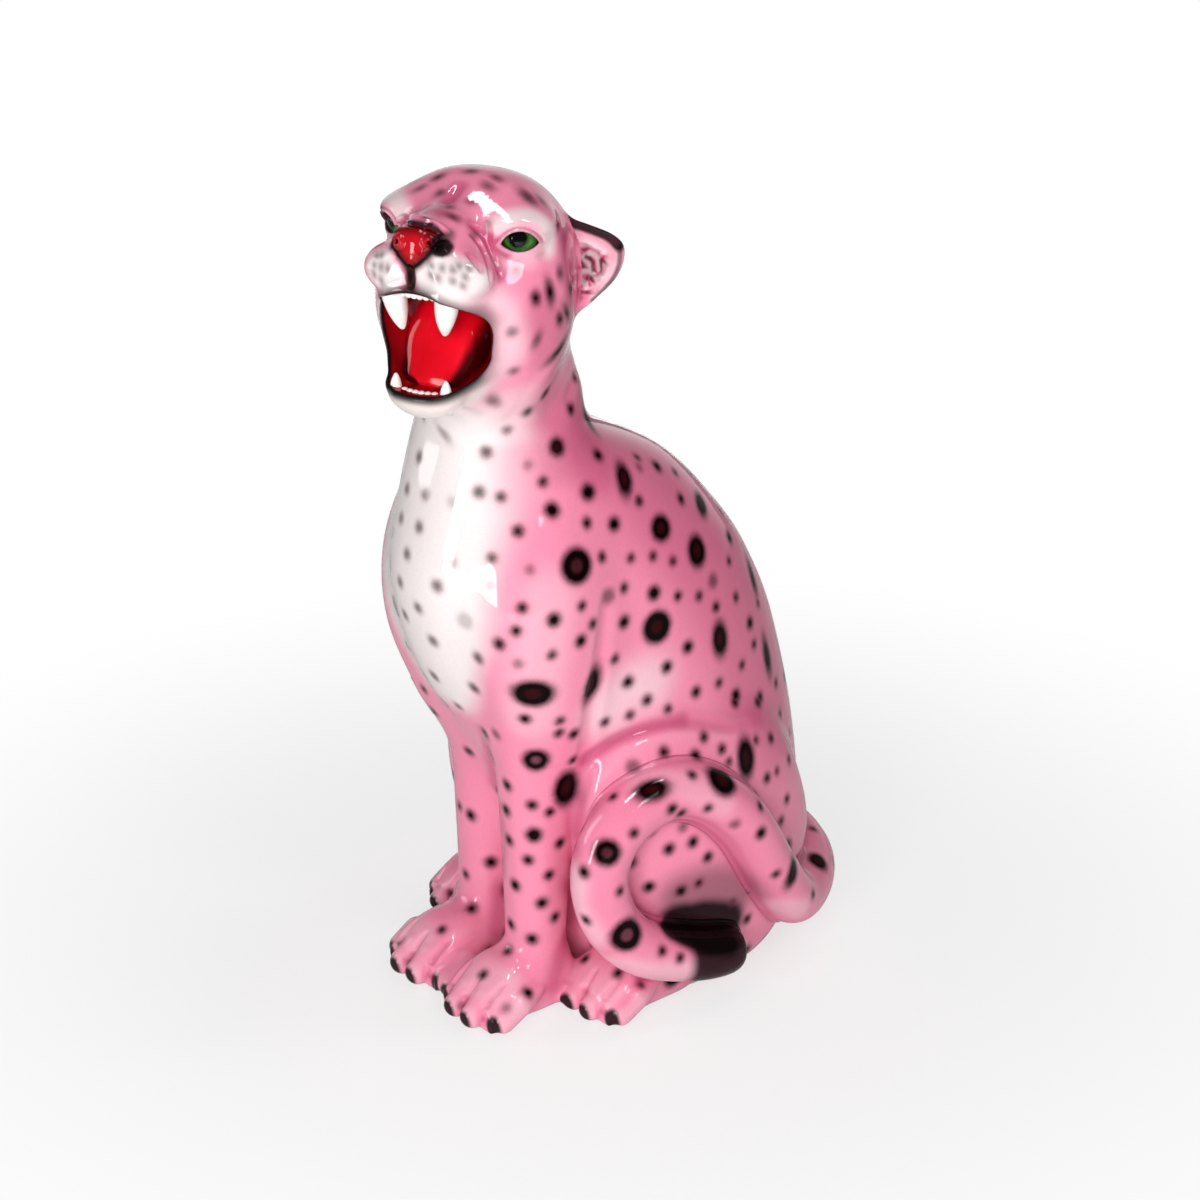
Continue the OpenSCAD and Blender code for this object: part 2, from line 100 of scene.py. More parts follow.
BASE_Z = 2.0
FELT_D = 24.0
VENT_D = 16.0
VENT_Y = 62.0
FORELEG_X = {LEFT: 32.0, RIGHT: -30.0}
HAUNCH_X = 60.0
FANG_L = 20.0
FANG_D = 11.5
EYE_D = 21.0
HEAD_YAW = math.radians(25.0)
NECK_Y = -75.0
HEAD_REACH = 51.0
EYE_POINT = np.array((HEAD_REACH * math.sin(HEAD_YAW), NECK_Y - HEAD_REACH * math.cos(HEAD_YAW), 451.0))
HEAD_FORWARD = np.array((math.sin(HEAD_YAW), -math.cos(HEAD_YAW), 0.0))
HEAD_LEFT = np.array((math.cos(HEAD_YAW), math.sin(HEAD_YAW), 0.0))
HEAD_UP = np.array((0.0, 0.0, 1.0))
EYE_PLACE = np.array((32.5, -5.0, 3.0))

# Level sections: height, front y, back y, half width, egg, x of the middle
TORSO_SECTIONS = (
    (2, -48, 67, 56, 0, 0), (18, -58, 97, 72, 0, 0), (70, -68, 109, 80, 0.02, 0),
    (132, -89, 106, 77, 0.04, 0), (194, -125, 93, 74, 0.05, 0), (232, -139, 78, 71, 0.04, 0),
    (264, -143, 58, 67, 0.02, 0), (304, -135, 21, 57.5, -0.04, 0), (334, -126, -30, 47, -0.06, 0),
    (360, -119, -39, 39, 0, 0), (388, -106, -48, 31, 0, 0), (402, -92, -59, 16, 0, 0),
)
NECK_FIRST = 6
HAUNCH_SECTIONS = (
    (2, -36, 40, 18, 0, 0), (20, -48, 66, 27, 0, 0), (72, -66, 86, 32, 0, 0),
    (122.4, -74, 74, 31, 0, 0), (158.4, -64, 50, 24, 0, 0), (180, -34, 14, 11, 0, 0),
)
# Points along the tail from its root round the left thigh to its tip: x, y, z, radius
TAIL_POINTS = (
    (-14, 83, 54, 14), (16, 105, 47, 16), (44, 103, 40, 17), (67, 86, 37, 17), (85, 60, 40, 16),
    (93, 36, 68, 16), (95, 12, 107, 16), (92, -12, 130, 16), (87, -38, 137, 16), (84, -66, 125, 16),
    (82, -78, 100, 16), (84, -73, 69, 16), (89, -54, 47, 16), (92, -25, 35, 16), (93, -2, 29, 15),
    (92, 9, 27, 12), (92, 15, 26, 4),
)
# Upright sections of the head: forward of the eyes, bottom, top, half width, egg
SKULL_SECTIONS = (
    (-68, -44, -16, 14, 0), (-61, -70, 6, 34, 0.05), (-42, -98, 25, 45, 0.1), (-18, -112, 31, 49, 0.12),
    (-2, -104, 26, 43, 0.08), (10, -94, 17, 36, 0.04), (22, -88, 14, 31.5, 0.02), (34, -85, 12, 26.5, 0.02),
    (42, -83, 10, 21.5, 0), (47, -77, 4, 16.5, 0),
)
TONGUE_SECTIONS = (
    (-4, -66, -34, 12, 0), (2, -74, -26, 20.5, 0), (10, -76, -26, 22.5, 0), (17, -76, -31, 22, 0),
    (23, -76, -40, 20, 0), (28, -76, -52, 16.5, 0), (32, -74, -63, 13, 0), (33.5, -73, -68, 6.5, 0),
)
# The open mouth: half width at heights below the eyes, and the height of its roof and floor on the middle
MOUTH_HEIGHTS = (-82, -71, -65, -54, -44, -34, -14)
MOUTH_HALVES = (14, 22, 26, 30, 31.5, 32.5, 32)
MOUTH_ROOF = -18.0
MOUTH_FLOOR = -70.0
MOUTH_BACK = 7.0
MOUTH_MIDDLE = (0, 25, -46)
MOUTH_HALF_BOX = 66.0
# How far roof and floor sink with the square of the way out, and how round roof, sides and back meet
ROOF_ARCH = 0.0125
FLOOR_ARCH = 0.004
ROOF_ROUNDING = 8.0
SIDE_ROUNDING = 12.0
BACK_ROUNDING = 16.0


def foreleg_sections(side):
    """Level sections of a foreleg; the right one stands further back."""
    leg = 85.0 if side == LEFT else 72.0
    return (
        (8, -leg - 17.5, -leg + 17.5, 17.5, 0, 0), (36, -leg - 16.5, -leg + 16.5, 16.5, 0, 0),
        (90, -leg - 17.5, -leg + 20.5, 18.5, 0, 0), (136, -leg - 20.5, -leg + 29.5, 21.5, 0, side),
        (178, -110.5, -45.5, 25.5, 0, 4 * side), (230, -106.5, -45.5, 22.5, 0, 6 * side),
        (254, -88.5, -61.5, 10.5, 0, 5 * side),
    )


def paw_sections(front, back, width, height):
    """Upright sections of a paw from heel to toes, as lengths forward."""
    middle = (front + back) / 2
    base = BASE_Z
    sunk = BASE_Z - SOLE_CUT
    return (
        (back - 4, base + height * 0.15, base + height * 0.6, width * 0.2, 0),
        (back + 5, sunk, base + height * 0.98, width * 0.36, 0),
        (middle, sunk, base + height * 0.98, width * 0.43, -0.05),
        (front - width * 0.42, sunk, base + height * 0.76, width * 0.5, -0.1),
        (front - width * 0.2, sunk, base + height * 0.48, width * 0.44, -0.1),
    )


# How far the round of a paw's underside is cut off flat
SOLE_CUT = 4.0
# Paws: middle x, toe front, heel, width, height
FOREPAWS = {LEFT: (30.5, 142.0, 69.5, 52.0, 34.0), RIGHT: (-28.0, 138.0, 59.5, 52.0, 34.0)}
HINDPAWS = {LEFT: (65.0, 85.0, 12.0, 50.0, 36.0), RIGHT: (-75.0, 78.0, 12.0, 50.0, 36.0)}
TOE_STEPS = (-1.5, -0.5, 0.5, 1.5)


def toe_line(paw, step):
    """Tip, knuckle and root of one toe, and its radius."""
    middle, front, back, width, height = paw
    radius = width / 6.3
    back_set = 5 * step * step
    tip = (middle + step * width / 3.4, -front + 0.85 * radius + back_set, BASE_Z + 0.85 * radius)
    knuckle = (middle + step * width / 3.6, -front + 2.1 * radius + back_set, BASE_Z + 1.6 * radius)
    root = (middle + step * width / 4.8, -front + 4.4 * radius + back_set * 0.6, BASE_Z + height * 0.46)
    return np.array((tip, knuckle, root)), radius


# Forms as closed meshes: points, triangles, quads


def smooth_curve(stations, steps):
    """A smooth curve through the stations, cut into equal steps."""
    points = np.array(stations, float)
    last = len(points) - 1
    along = np.linspace(0, last, steps + 1)
    index = np.minimum(along.astype(int), last - 1)
    t = (along - index)[:, None]
    before = points[np.maximum(index - 1, 0)]
    start = points[index]
    end = points[index + 1]
    after = points[np.minimum(index + 2, last)]
    square = (2 * before - 5 * start + 4 * end - after) * t ** 2
    cube = (3 * start - before - 3 * end + after) * t ** 3
    return 0.5 * (2 * start + (end - before) * t + square + cube)


def skin(rings):
    """Closed mesh over rings of points."""
    count, sides = rings.shape[:2]
    points = np.concatenate([rings.reshape(-1, 3), [rings[0].mean(0), rings[-1].mean(0)]])
    row = np.arange(count - 1)[:, None] * sides
    column = np.arange(sides)[None, :]
    following = (column + 1) % sides
    quads = np.stack([row + column, row + sides + column, row + sides + following, row + following], -1)
    first_cap = count * sides
    top = (count - 1) * sides
    around = np.arange(sides)
    beside = (around + 1) % sides
    bottom_fan = np.stack([np.full(sides, first_cap), around, beside], -1)
    top_fan = np.stack([np.full(sides, first_cap + 1), top + beside, top + around], -1)
    triangles = np.concatenate([bottom_fan, top_fan])
    return points, triangles.astype(np.uint32), quads.reshape(-1, 4).astype(np.uint32)


# Power of the sine and cosine in an outline: 1 is an ellipse, less is squarer
ROUNDNESS = 0.92


def outline(half_wide, half_high, egg, power, sides):
    """Rings that are squarer than an ellipse, one for each section."""
    turn = np.linspace(0, 2 * math.pi, sides, endpoint=False)
    cosine = np.sign(np.cos(turn)) * np.abs(np.cos(turn)) ** power
    sine = np.sign(np.sin(turn)) * np.abs(np.sin(turn)) ** power
    wide = half_wide[:, None] * cosine * (1 + egg[:, None] * sine)
    return wide, half_high[:, None] * sine


def upright_loft(sections, x=0.0, steps=90, sides=96):
    """Closed mesh through level sections, moved to x."""
    line = smooth_curve(sections, steps)
    wide, deep = outline(line[:, 3], (line[:, 2] - line[:, 1]) / 2, line[:, 4], ROUNDNESS, sides)
    middle = (line[:, 1] + line[:, 2]) / 2
    height = np.repeat(line[:, 0:1], sides, 1)
    return skin(np.stack([wide + line[:, 5:6] + x, deep + middle[:, None], height], -1))


def forward_loft(sections, steps, sides, power=ROUNDNESS, lowest=-1000.0):
    """Closed mesh through upright sections: across, forward, up."""
    line = smooth_curve(sections, steps)
    wide, high = outline(line[:, 3], (line[:, 2] - line[:, 1]) / 2, line[:, 4], power, sides)
    middle = (line[:, 1] + line[:, 2]) / 2
    height = np.maximum(high + middle[:, None], lowest)
    forward = np.repeat(line[:, 0:1], sides, 1)
    return skin(np.stack([wide, forward, height], -1))


def tapered_tube(stations, steps=240, sides=40):
    """Closed mesh of a tube whose radius changes."""
    line = smooth_curve(stations, steps)
    spine = line[:, :3]
    tangents = unit(np.gradient(spine, axis=0))
    normal = np.cross(tangents[0], (0, 0, 1))
    turn = np.linspace(0, 2 * math.pi, sides, endpoint=False)[:, None]
    rings = []
    for place, tangent, radius in zip(spine, tangents, line[:, 3]):
        normal = unit(normal - tangent * (normal @ tangent))
        side = np.cross(tangent, normal)
        rings.append(place + radius * (np.cos(turn) * normal + np.sin(turn) * side))
    return skin(np.array(rings))


def from_head(points):
    """Points given as left, forward and up of the eyes, in mm of the part's frame."""
    points = np.asarray(points, float)
    left = points[..., 0:1] * HEAD_LEFT
    forward = points[..., 1:2] * HEAD_FORWARD
    return EYE_POINT + left + forward + points[..., 2:3] * HEAD_UP


def to_head(points):
    """Left, forward and up of the eyes for points of the part's frame."""
    offset = np.asarray(points, float) - EYE_POINT
    return np.stack([offset @ HEAD_LEFT, offset @ HEAD_FORWARD, offset @ HEAD_UP], -1)


def placed(form):
    """A form given as left, forward and up of the eyes, moved to its place on the head."""
    points, triangles, quads = form
    return from_head(points), triangles, quads


def paw_loft(paw):
    """Closed mesh of a paw without its toes."""
    middle, front, back, width, height = paw
    points, triangles, quads = forward_loft(paw_sections(front, back, width, height), 40, 56, 0.8, BASE_Z)
    points = np.stack([middle + points[:, 0], -points[:, 1], points[:, 2]], -1)
    return points, triangles, quads


# Blending of distances


def melt(a, b, radius):
    """Union of two forms with a rounded crease."""
    overlap = np.maximum(radius - np.abs(a - b), 0)
    return np.minimum(a, b) - overlap * overlap * (0.25 / radius)


def carve(a, b, radius):
    """Form a without form b, with a rounded edge."""
    return -melt(-a, b, radius)


def ease(low, high, value):
    """Soft step from 0 at low to 1 at high."""
    t = np.clip((np.asarray(value, float) - low) / (high - low), 0, 1)
    return t * t * (3 - 2 * t)


def length_along(axis, x, y, z):
    """Length along an axis for offsets in x, y and z."""
    return x * axis[0] + y * axis[1] + z * axis[2]


class Block:
    """A box of evenly spaced sample points on which forms are added up as distances in mm."""

    def __init__(self, low, high, step, band):
        self.low = np.array(low, float)
        self.step = step
        self.band = band
        self.shape = tuple(np.ceil((np.array(high, float) - self.low) / step).astype(int) + 1)
        self.axes = [self.low[k] + step * np.arange(self.shape[k]) for k in range(3)]

    def whole(self, form):
        """Signed distance to a closed mesh, cut off at the block's band."""
        points, triangles, quads = form
        local = ((points - self.low) / self.step).astype(np.float32)
        level = openvdb.FloatGrid.createLevelSetFromPolygons(
            points=local, triangles=triangles, quads=quads, halfWidth=self.band / self.step)
        values = np.empty(self.shape, np.float32)
        level.copyToArray(values)
        values *= self.step
        return values

    def cut(self, low, high):
        """Slices and axes of the samples between two corners."""
        start = np.floor((np.asarray(low) - self.low) / self.step).astype(int)
        stop = np.ceil((np.asarray(high) - self.low) / self.step).astype(int) + 1
        start = np.clip(start, 0, self.shape)
        stop = np.clip(stop, 0, self.shape)
        slices = tuple(slice(a, b) for a, b in zip(start, stop))
        near = [axis[part].astype(np.float32) for axis, part in zip(self.axes, slices)]
        return slices, *np.meshgrid(*near, indexing="ij", sparse=True)

    def ball(self, place, axes, radii, reach):
        """Distance to an ellipsoid along three unit axes, near it only."""
        margin = max(radii) + reach
        slices, x, y, z = self.cut(place - margin, place + margin)
        near = 0.0
        steep = 0.0
        for axis, radius in zip(axes, radii):
            along = length_along(axis, x - place[0], y - place[1], z - place[2])
            near = near + (along / radius) ** 2
            steep = steep + (along / radius ** 2) ** 2
        near = np.sqrt(near)
        return slices, near * (near - 1) / np.sqrt(steep + 1e-9)

    def bar(self, points, radii, reach):
        """Distance to a round bar along points with a radius each, near it only."""
        points = np.asarray(points, float)
        radii = np.broadcast_to(np.asarray(radii, float), (len(points),))
        margin = radii.max() + reach
        slices, x, y, z = self.cut(points.min(0) - margin, points.max(0) + margin)
        shape = (x.shape[0], y.shape[1], z.shape[2])
        distance = np.full(shape, margin, np.float32)
        for a, b, ra, rb in zip(points[:-1], points[1:], radii[:-1], radii[1:]):
            inner, ix, iy, iz = self.cut(np.minimum(a, b) - margin, np.maximum(a, b) + margin)
            part = tuple(slice(i.start - s.start, i.stop - s.start) for i, s in zip(inner, slices))
            d = b - a
            offset = (ix - a[0], iy - a[1], iz - a[2])
            along = np.clip(length_along(d, *offset) / max(d @ d, 1e-9), 0, 1)
            gap = np.sqrt(sum((gone - along * way) ** 2 for gone, way in zip(offset, d)))
            distance[part] = np.minimum(distance[part], gap - (ra + (rb - ra) * along))
        return slices, distance

    def at(self, field, points):
        """Field at any points, between the samples in a straight line."""
        local = (np.asarray(points, float) - self.low) / self.step
        local = np.clip(local, 0, np.array(self.shape) - 1.001)
        i, j, k = local.astype(int).T
        u, v, w = (local - local.astype(int)).T
        near = field[i, j, k] * (1 - u) + field[i + 1, j, k] * u
        side = field[i, j + 1, k] * (1 - u) + field[i + 1, j + 1, k] * u
        above = field[i, j, k + 1] * (1 - u) + field[i + 1, j, k + 1] * u
        across = field[i, j + 1, k + 1] * (1 - u) + field[i + 1, j + 1, k + 1] * u
        return (near * (1 - v) + side * v) * (1 - w) + (above * (1 - v) + across * v) * w

    def slope(self, field, points, reach=1.0):
        """Direction in which the field rises."""
        offset = self.step * reach
        shifts = np.eye(3) * offset
        rise = [self.at(field, points + shift) - self.at(field, points - shift) for shift in shifts]
        return np.stack(rise, -1) / (2 * offset)

    def holds(self, points):
        """Which points lie inside the box."""
        local = (np.asarray(points) - self.low) / self.step
        return np.all((local > 1) & (local < np.array(self.shape) - 2), axis=1)

    def settle(self, field, points, rounds=2):
        """Points moved onto the surface where the field is zero."""
        points = np.array(points, float)
        for _ in range(rounds):
            rise = self.slope(field, points)
            steep = np.maximum((rise ** 2).sum(1), 0.05)
            move = (self.at(field, points) / steep)[:, None] * rise
            points -= np.clip(move, -self.step, self.step)
        return points

    def mesh(self, field):
        """Points and quads of the surface where the field is zero, facing outwards."""
        edge = 3.0
        sharp = np.clip(field / self.step, -edge, edge).astype(np.float32)
        grid = openvdb.FloatGrid(edge)
        grid.copyFromArray(sharp)
        points, quads = grid.convertToQuads(isovalue=0.0)
        points = np.asarray(points, float)
        quads = np.asarray(quads, int)
        a, b, c, d = (points[quads[:, k]] for k in range(4))
        swept = np.einsum("ij,ij->i", a, np.cross(b, c)) + np.einsum("ij,ij->i", a, np.cross(c, d))
        if swept.sum() < 0:
            quads = quads[:, ::-1]
        return points * self.step + self.low, quads


# The animal as distances

BAND = 17.0
SHOULDER_MELT = 20.0
FORELEG_MELT = 13.0
HAUNCH_MELT = 7.0
HINDPAW_MELT = 6.0
TAIL_MELT = 2.5
HEAD_MELT = 12.0
EAR_MELT = 5.0
PAW_MELT = 9.0
TOE_MELT = 1.5
WORLD_AXES = np.eye(3)
HEAD_AXES = (HEAD_LEFT, HEAD_FORWARD, HEAD_UP)
# How far a casting runs on under its neighbour, and how fast its skin dips there
HIDDEN_LAP = 6.0
HIDDEN_DIP = 0.35

# Muscle under the skin of the torso: x, y, z, half sizes
SHOULDERS = ((47, -89, 236), (25, 35, 62))


def turned(tilt):
    """The head's axes turned by a tilt about forward, in degrees."""
    tilt = math.radians(tilt)
    left = HEAD_LEFT * math.cos(tilt) + HEAD_UP * math.sin(tilt)
    up = HEAD_UP * math.cos(tilt) - HEAD_LEFT * math.sin(tilt)
    return left, HEAD_FORWARD, up


def add_toes(block, distance, paw):
    """Melts a paw's toes into it."""
    for step in TOE_STEPS:
        line, radius = toe_line(paw, step)
        slices, toe = block.bar(line, radius * np.array((0.85, 1.0, 0.9)), TOE_MELT + 3)
        distance[slices] = melt(distance[slices], toe, TOE_MELT)


def torso_distance(block, neck_only=False):
    """Torso with its shoulder muscles, or the neck alone."""
    sections = TORSO_SECTIONS[NECK_FIRST:] if neck_only else TORSO_SECTIONS
    distance = block.whole(upright_loft(sections))
    if neck_only:
        return distance
    place, radii = SHOULDERS
    for side in SIDES:
        middle = np.array(place, float) * (side, 1, 1)
        slices, muscle = block.ball(middle, WORLD_AXES, radii, BAND)
        distance[slices] = melt(distance[slices], muscle, SHOULDER_MELT)
    return distance


def foreleg_distance(block, side):
    """Foreleg with its paw."""
    distance = block.whole(upright_loft(foreleg_sections(side), FORELEG_X[side], 70, 56))
    distance = melt(distance, block.whole(paw_loft(FOREPAWS[side])), PAW_MELT)
    add_toes(block, distance, FOREPAWS[side])
    return distance


def haunch_distance(block, side):
    """Thigh that the sitting animal rests on."""
    return block.whole(upright_loft(HAUNCH_SECTIONS, side * HAUNCH_X, 60, 72))


def hindpaw_distance(block, side):
    """Hind paw that looks out from under the thigh."""
    distance = block.whole(paw_loft(HINDPAWS[side]))
    add_toes(block, distance, HINDPAWS[side])
    return distance


# Soft masses of the head: left, forward, up, half sizes, melt; one that isn't on the middle is paired
HEAD_MASSES = (
    ((0, 18, 9), (13, 27, 9), 12),
    ((29, -8, 9), (19, 18, 9), 10),
    ((34, -8, -36), (13, 24, 26), 16),
    ((19, 31, -10), (16, 15.5, 12.5), 7),
    ((0, 38, -73), (20, 11, 9.5), 6),
)
NOSE_MASSES = (
    ((0, 37, 8), (13, 10, 9.5), 4),
    ((10, 40.5, 6.5), (6, 7, 6.5), 2),
    ((0, 43, -0.5), (5, 5.5, 5.5), 3),
)
NOSTRIL = ((15.6, 43.5, 7.0), (4.4, 6, 3.0), -30)
NOSTRIL_EDGE = 1.6
# Edge of the nose pad on one side, from the top of the middle to its tip: left and up of the eyes
NOSE_PAD = ((0, 17), (7, 16.6), (12.3, 14), (13, 9.5), (11.5, 6), (8, 2.2), (4, -1.5), (0, -4))
NOSE_FROM = 36.0
LID_RADIUS = 12.0
LID_MELT = 4.0
EYE_FIT = 0.25
EYE_HALF_BOX = 22.0
GAZE = np.array((0.46, 0.86, 0.16))
EYE_HALF_WIDE = 9.3
EYE_CORNERS = -2.5
EYE_UPPER_LID = 6.2
EYE_LOWER_LID = 3.9
LID_FOLD = 2.1
PUPIL_TURN = math.radians(-6.0)
LIP_ROLL = 1.3
LIP_OUT = 1.2
LIP_WIDTH = 2.8
MOUTH_EDGE = 2.6


def paired(place):
    """A place on the head and, unless it lies on the middle, its mirror place."""
    if place[0] == 0:
        return ((LEFT, place),)
    return ((LEFT, place), (RIGHT, (-place[0], place[1], place[2])))


def eye_frame(side):
    """Middle of an eye and its axes: along the slit, up and out."""
    middle = from_head(EYE_PLACE * (side, 1, 1))
    out = unit((GAZE * (side, 1, 1)) @ np.array(HEAD_AXES))
    up = unit(HEAD_UP - out * (HEAD_UP @ out))
    return middle, np.cross(up, out), up, out


def eye_slit(points_x, points_y, points_z, side):
    """Distance, across the gaze, to the almond between the lids, the way along the gaze and the height."""
    middle, along, up, out = eye_frame(side)
    offset = (points_x - middle[0], points_y - middle[1], points_z - middle[2])
    wide = length_along(along, *offset)
    ahead = length_along(out, *offset)
    above = length_along(up, *offset) - EYE_CORNERS
    lids = []
    for lid, way in ((EYE_UPPER_LID, 1), (EYE_LOWER_LID, -1)):
        radius = (EYE_HALF_WIDE ** 2 + lid ** 2) / (2 * lid)
        lids.append(np.sqrt(wide ** 2 + (above + way * (radius - lid)) ** 2) - radius)
    return np.maximum(lids[0], lids[1]), ahead, above


def head_place(x, y, z):
    """Left, forward and up of the eyes for open axes of x, y and z."""
    left = (x - EYE_POINT[0]) * HEAD_LEFT[0] + (y - EYE_POINT[1]) * HEAD_LEFT[1]
    forward = (x - EYE_POINT[0]) * HEAD_FORWARD[0] + (y - EYE_POINT[1]) * HEAD_FORWARD[1]
    return left, forward, z - EYE_POINT[2]


def head_forms(block):
    """Head with its soft masses, before anything is cut into it."""
    distance = block.whole(placed(forward_loft(SKULL_SECTIONS, 80, 96, 0.84)))
    for place, radii, radius in HEAD_MASSES + NOSE_MASSES:
        for _, mirrored in paired(place):
            slices, mass = block.ball(from_head(mirrored), HEAD_AXES, radii, BAND)
            distance[slices] = melt(distance[slices], mass, radius)
    for side in SIDES:
        middle = eye_frame(side)[0]
        slices, lid = block.ball(middle, WORLD_AXES, (LID_RADIUS,) * 3, BAND)
        distance[slices] = melt(distance[slices], lid, LID_MELT)
    return distance


def mouth_distance(block):
    """The open mouth: wide under the whisker pads, narrow at the chin, and cut in from the front."""
    middle = from_head(MOUTH_MIDDLE)
    distance = np.full(block.shape, BAND, np.float32)
    slices, x, y, z = block.cut(middle - MOUTH_HALF_BOX, middle + MOUTH_HALF_BOX)
    left, forward, up = head_place(x, y, z)
    half = np.interp(up, MOUTH_HEIGHTS, MOUTH_HALVES).astype(np.float32)
    square = np.minimum(left, 34) ** 2
    roof = (up - MOUTH_ROOF + ROOF_ARCH * square) * 0.95
    floor = MOUTH_FLOOR + FLOOR_ARCH * square - up
    sides = (np.abs(left) - half) * 0.94
    front_view = carve(carve(roof, -floor, ROOF_ROUNDING), -sides, SIDE_ROUNDING)
    cut = carve(front_view, forward - MOUTH_BACK, BACK_ROUNDING)
    distance[slices] = np.clip(cut, -BAND, BAND)
    return distance


def press_strokes(block, distance, strokes):
    """Presses strokes into the clay, or lays raised ones on it."""
    for points, radii, soft, raised in strokes:
        slices, line = block.bar(points, radii, soft + 3)
        blend = melt if raised else carve
        distance[slices] = blend(distance[slices], line, soft)


def head_carved(block, distance, mouth, strokes):
    """Head with lips, wrinkles, mouth, nostrils and eye sockets."""
    roll = LIP_ROLL * np.exp(-((mouth - LIP_OUT) / LIP_WIDTH) ** 2)
    distance = distance - roll
    press_strokes(block, distance, strokes)
    distance = carve(distance, mouth, MOUTH_EDGE)
    place, radii, tilt = NOSTRIL
    for side, mirrored in paired(place):
        slices, hole = block.ball(from_head(mirrored), turned(side * tilt), radii, 6)
        distance[slices] = carve(distance[slices], hole, NOSTRIL_EDGE)
    for side in SIDES:
        middle = eye_frame(side)[0]
        slices, x, y, z = block.cut(middle - EYE_HALF_BOX, middle + EYE_HALF_BOX)
        ball = np.sqrt((x - middle[0]) ** 2 + (y - middle[1]) ** 2 + (z - middle[2]) ** 2)
        slit, ahead, above = eye_slit(x, y, z, side)
        upper = ease(-1.0, 2.0, above) * ease(0.0, 3.0, ahead)
        fold = 0.9 * np.exp(-((slit - LID_FOLD) / 0.75) ** 2) - 0.5 * np.exp(-((slit - 0.7) / 0.8) ** 2)
        distance[slices] += upper * fold
        opening = np.maximum(slit, 2.0 - ahead)
        held = carve(distance[slices], opening, 0.8)
        distance[slices] = np.maximum(held, EYE_D / 2 + EYE_FIT - ball)
    return distance


# Outline of an ear: left and up of the eyes; it lies on a plane that leans back outwards
EAR_OUTLINE = (
    (34, 6), (42, 3.4), (52, -0.8), (60, -5.0), (65, -11), (65, -20), (61, -29.5), (53, -39), (46, -45.5),
    (34, -50),
)
EAR_ROOT = np.array((42.0, -44.0, -20.0))
EAR_LEAN_BACK = 0.55
EAR_THICK = 3.4
EAR_CUP = 9.0
EAR_CUP_WIDTH = 14.0
EAR_EDGE = 4.0
EAR_HALF_BOX = 44.0


def outline_distance(left, up, corners):
    """Distance of flat places from a bulging outline whose corners go round clockwise, below zero inside."""
    beyond = np.full(left.shape, -1000.0, np.float32)
    gap = np.full(left.shape, 1e6, np.float32)
    for a, b in zip(corners, np.roll(corners, -1, 0)):
        d = b - a
        if d @ d < 1e-9:
            continue
        across = left - a[0]
        above = up - a[1]
        along = np.clip((across * d[0] + above * d[1]) / (d @ d), 0, 1)
        gap = np.minimum(gap, (across - along * d[0]) ** 2 + (above - along * d[1]) ** 2)
        beyond = np.maximum(beyond, (above * d[0] - across * d[1]) / math.sqrt(d @ d))
    return np.sqrt(gap) * np.sign(beyond)


def ear_distance(block, side, strokes):
    """Ear: a cupped fan with a rolled rim and carved fur inside."""
    distance = np.full(block.shape, BAND, np.float32)
    middle = from_head((EAR_ROOT + (8, -6, 0)) * (side, 1, 1))
    slices, x, y, z = block.cut(middle - EAR_HALF_BOX, middle + EAR_HALF_BOX)
    left, forward, up = head_place(x, y, z)
    left, up = np.broadcast_arrays(side * left, up)
    rim = outline_distance(left, up, smooth_curve(EAR_OUTLINE, 36))
    plane = EAR_ROOT[1] - EAR_LEAN_BACK * (left - EAR_ROOT[0])
    depth = np.clip(-rim / EAR_CUP_WIDTH, 0, 1)
    cupped = plane - EAR_CUP * depth * depth * (3 - 2 * depth)
    through = np.abs(forward - cupped + EAR_THICK * depth) - EAR_THICK * (0.75 + 0.7 * depth)
    through = through / math.hypot(1, EAR_LEAN_BACK)
    distance[slices] = np.clip(carve(rim, -through, EAR_EDGE), -BAND, BAND)
    press_strokes(block, distance, strokes)
    return distance


# Blocks: low corner, high corner, step, band of true distances, in mm
BODY_BOX = ((-116, -158, -4), (118, 136, 404), 1.6, 17.0)
FRONT_BOX = ((-104, -154, -4), (104, 4, 268), 1.0, 13.5)
TAIL_BOX = ((-42, -102, -4), (120, 132, 164), 1.0, 8.0)
HEAD_BOX = ((-72, -196, 328), (104, -40, 496), 0.75, 13.0)

# Creases in the body's clay, as photo pixels on the near side: points, radius, depth, softness, raised
BODY_CREASES = (
    (((607, 592), (602, 650), (588, 735), (580, 800)), 5.0, 1.8, 5.0, False),
    (((583, 760), (617, 740), (650, 728), (690, 722), (730, 727), (748, 722)), 3.2, 1.3, 3.5, False),
    (((562, 352), (556, 374), (545, 396)), 4.0, 1.2, 5.0, False),
    (((580, 352), (573, 380), (566, 402)), 3.0, 0.9, 4.0, False),
)
# Grooves between the toes: radius, depth, softness
TOE_GROOVE = (2.6, 1.8, 1.4)
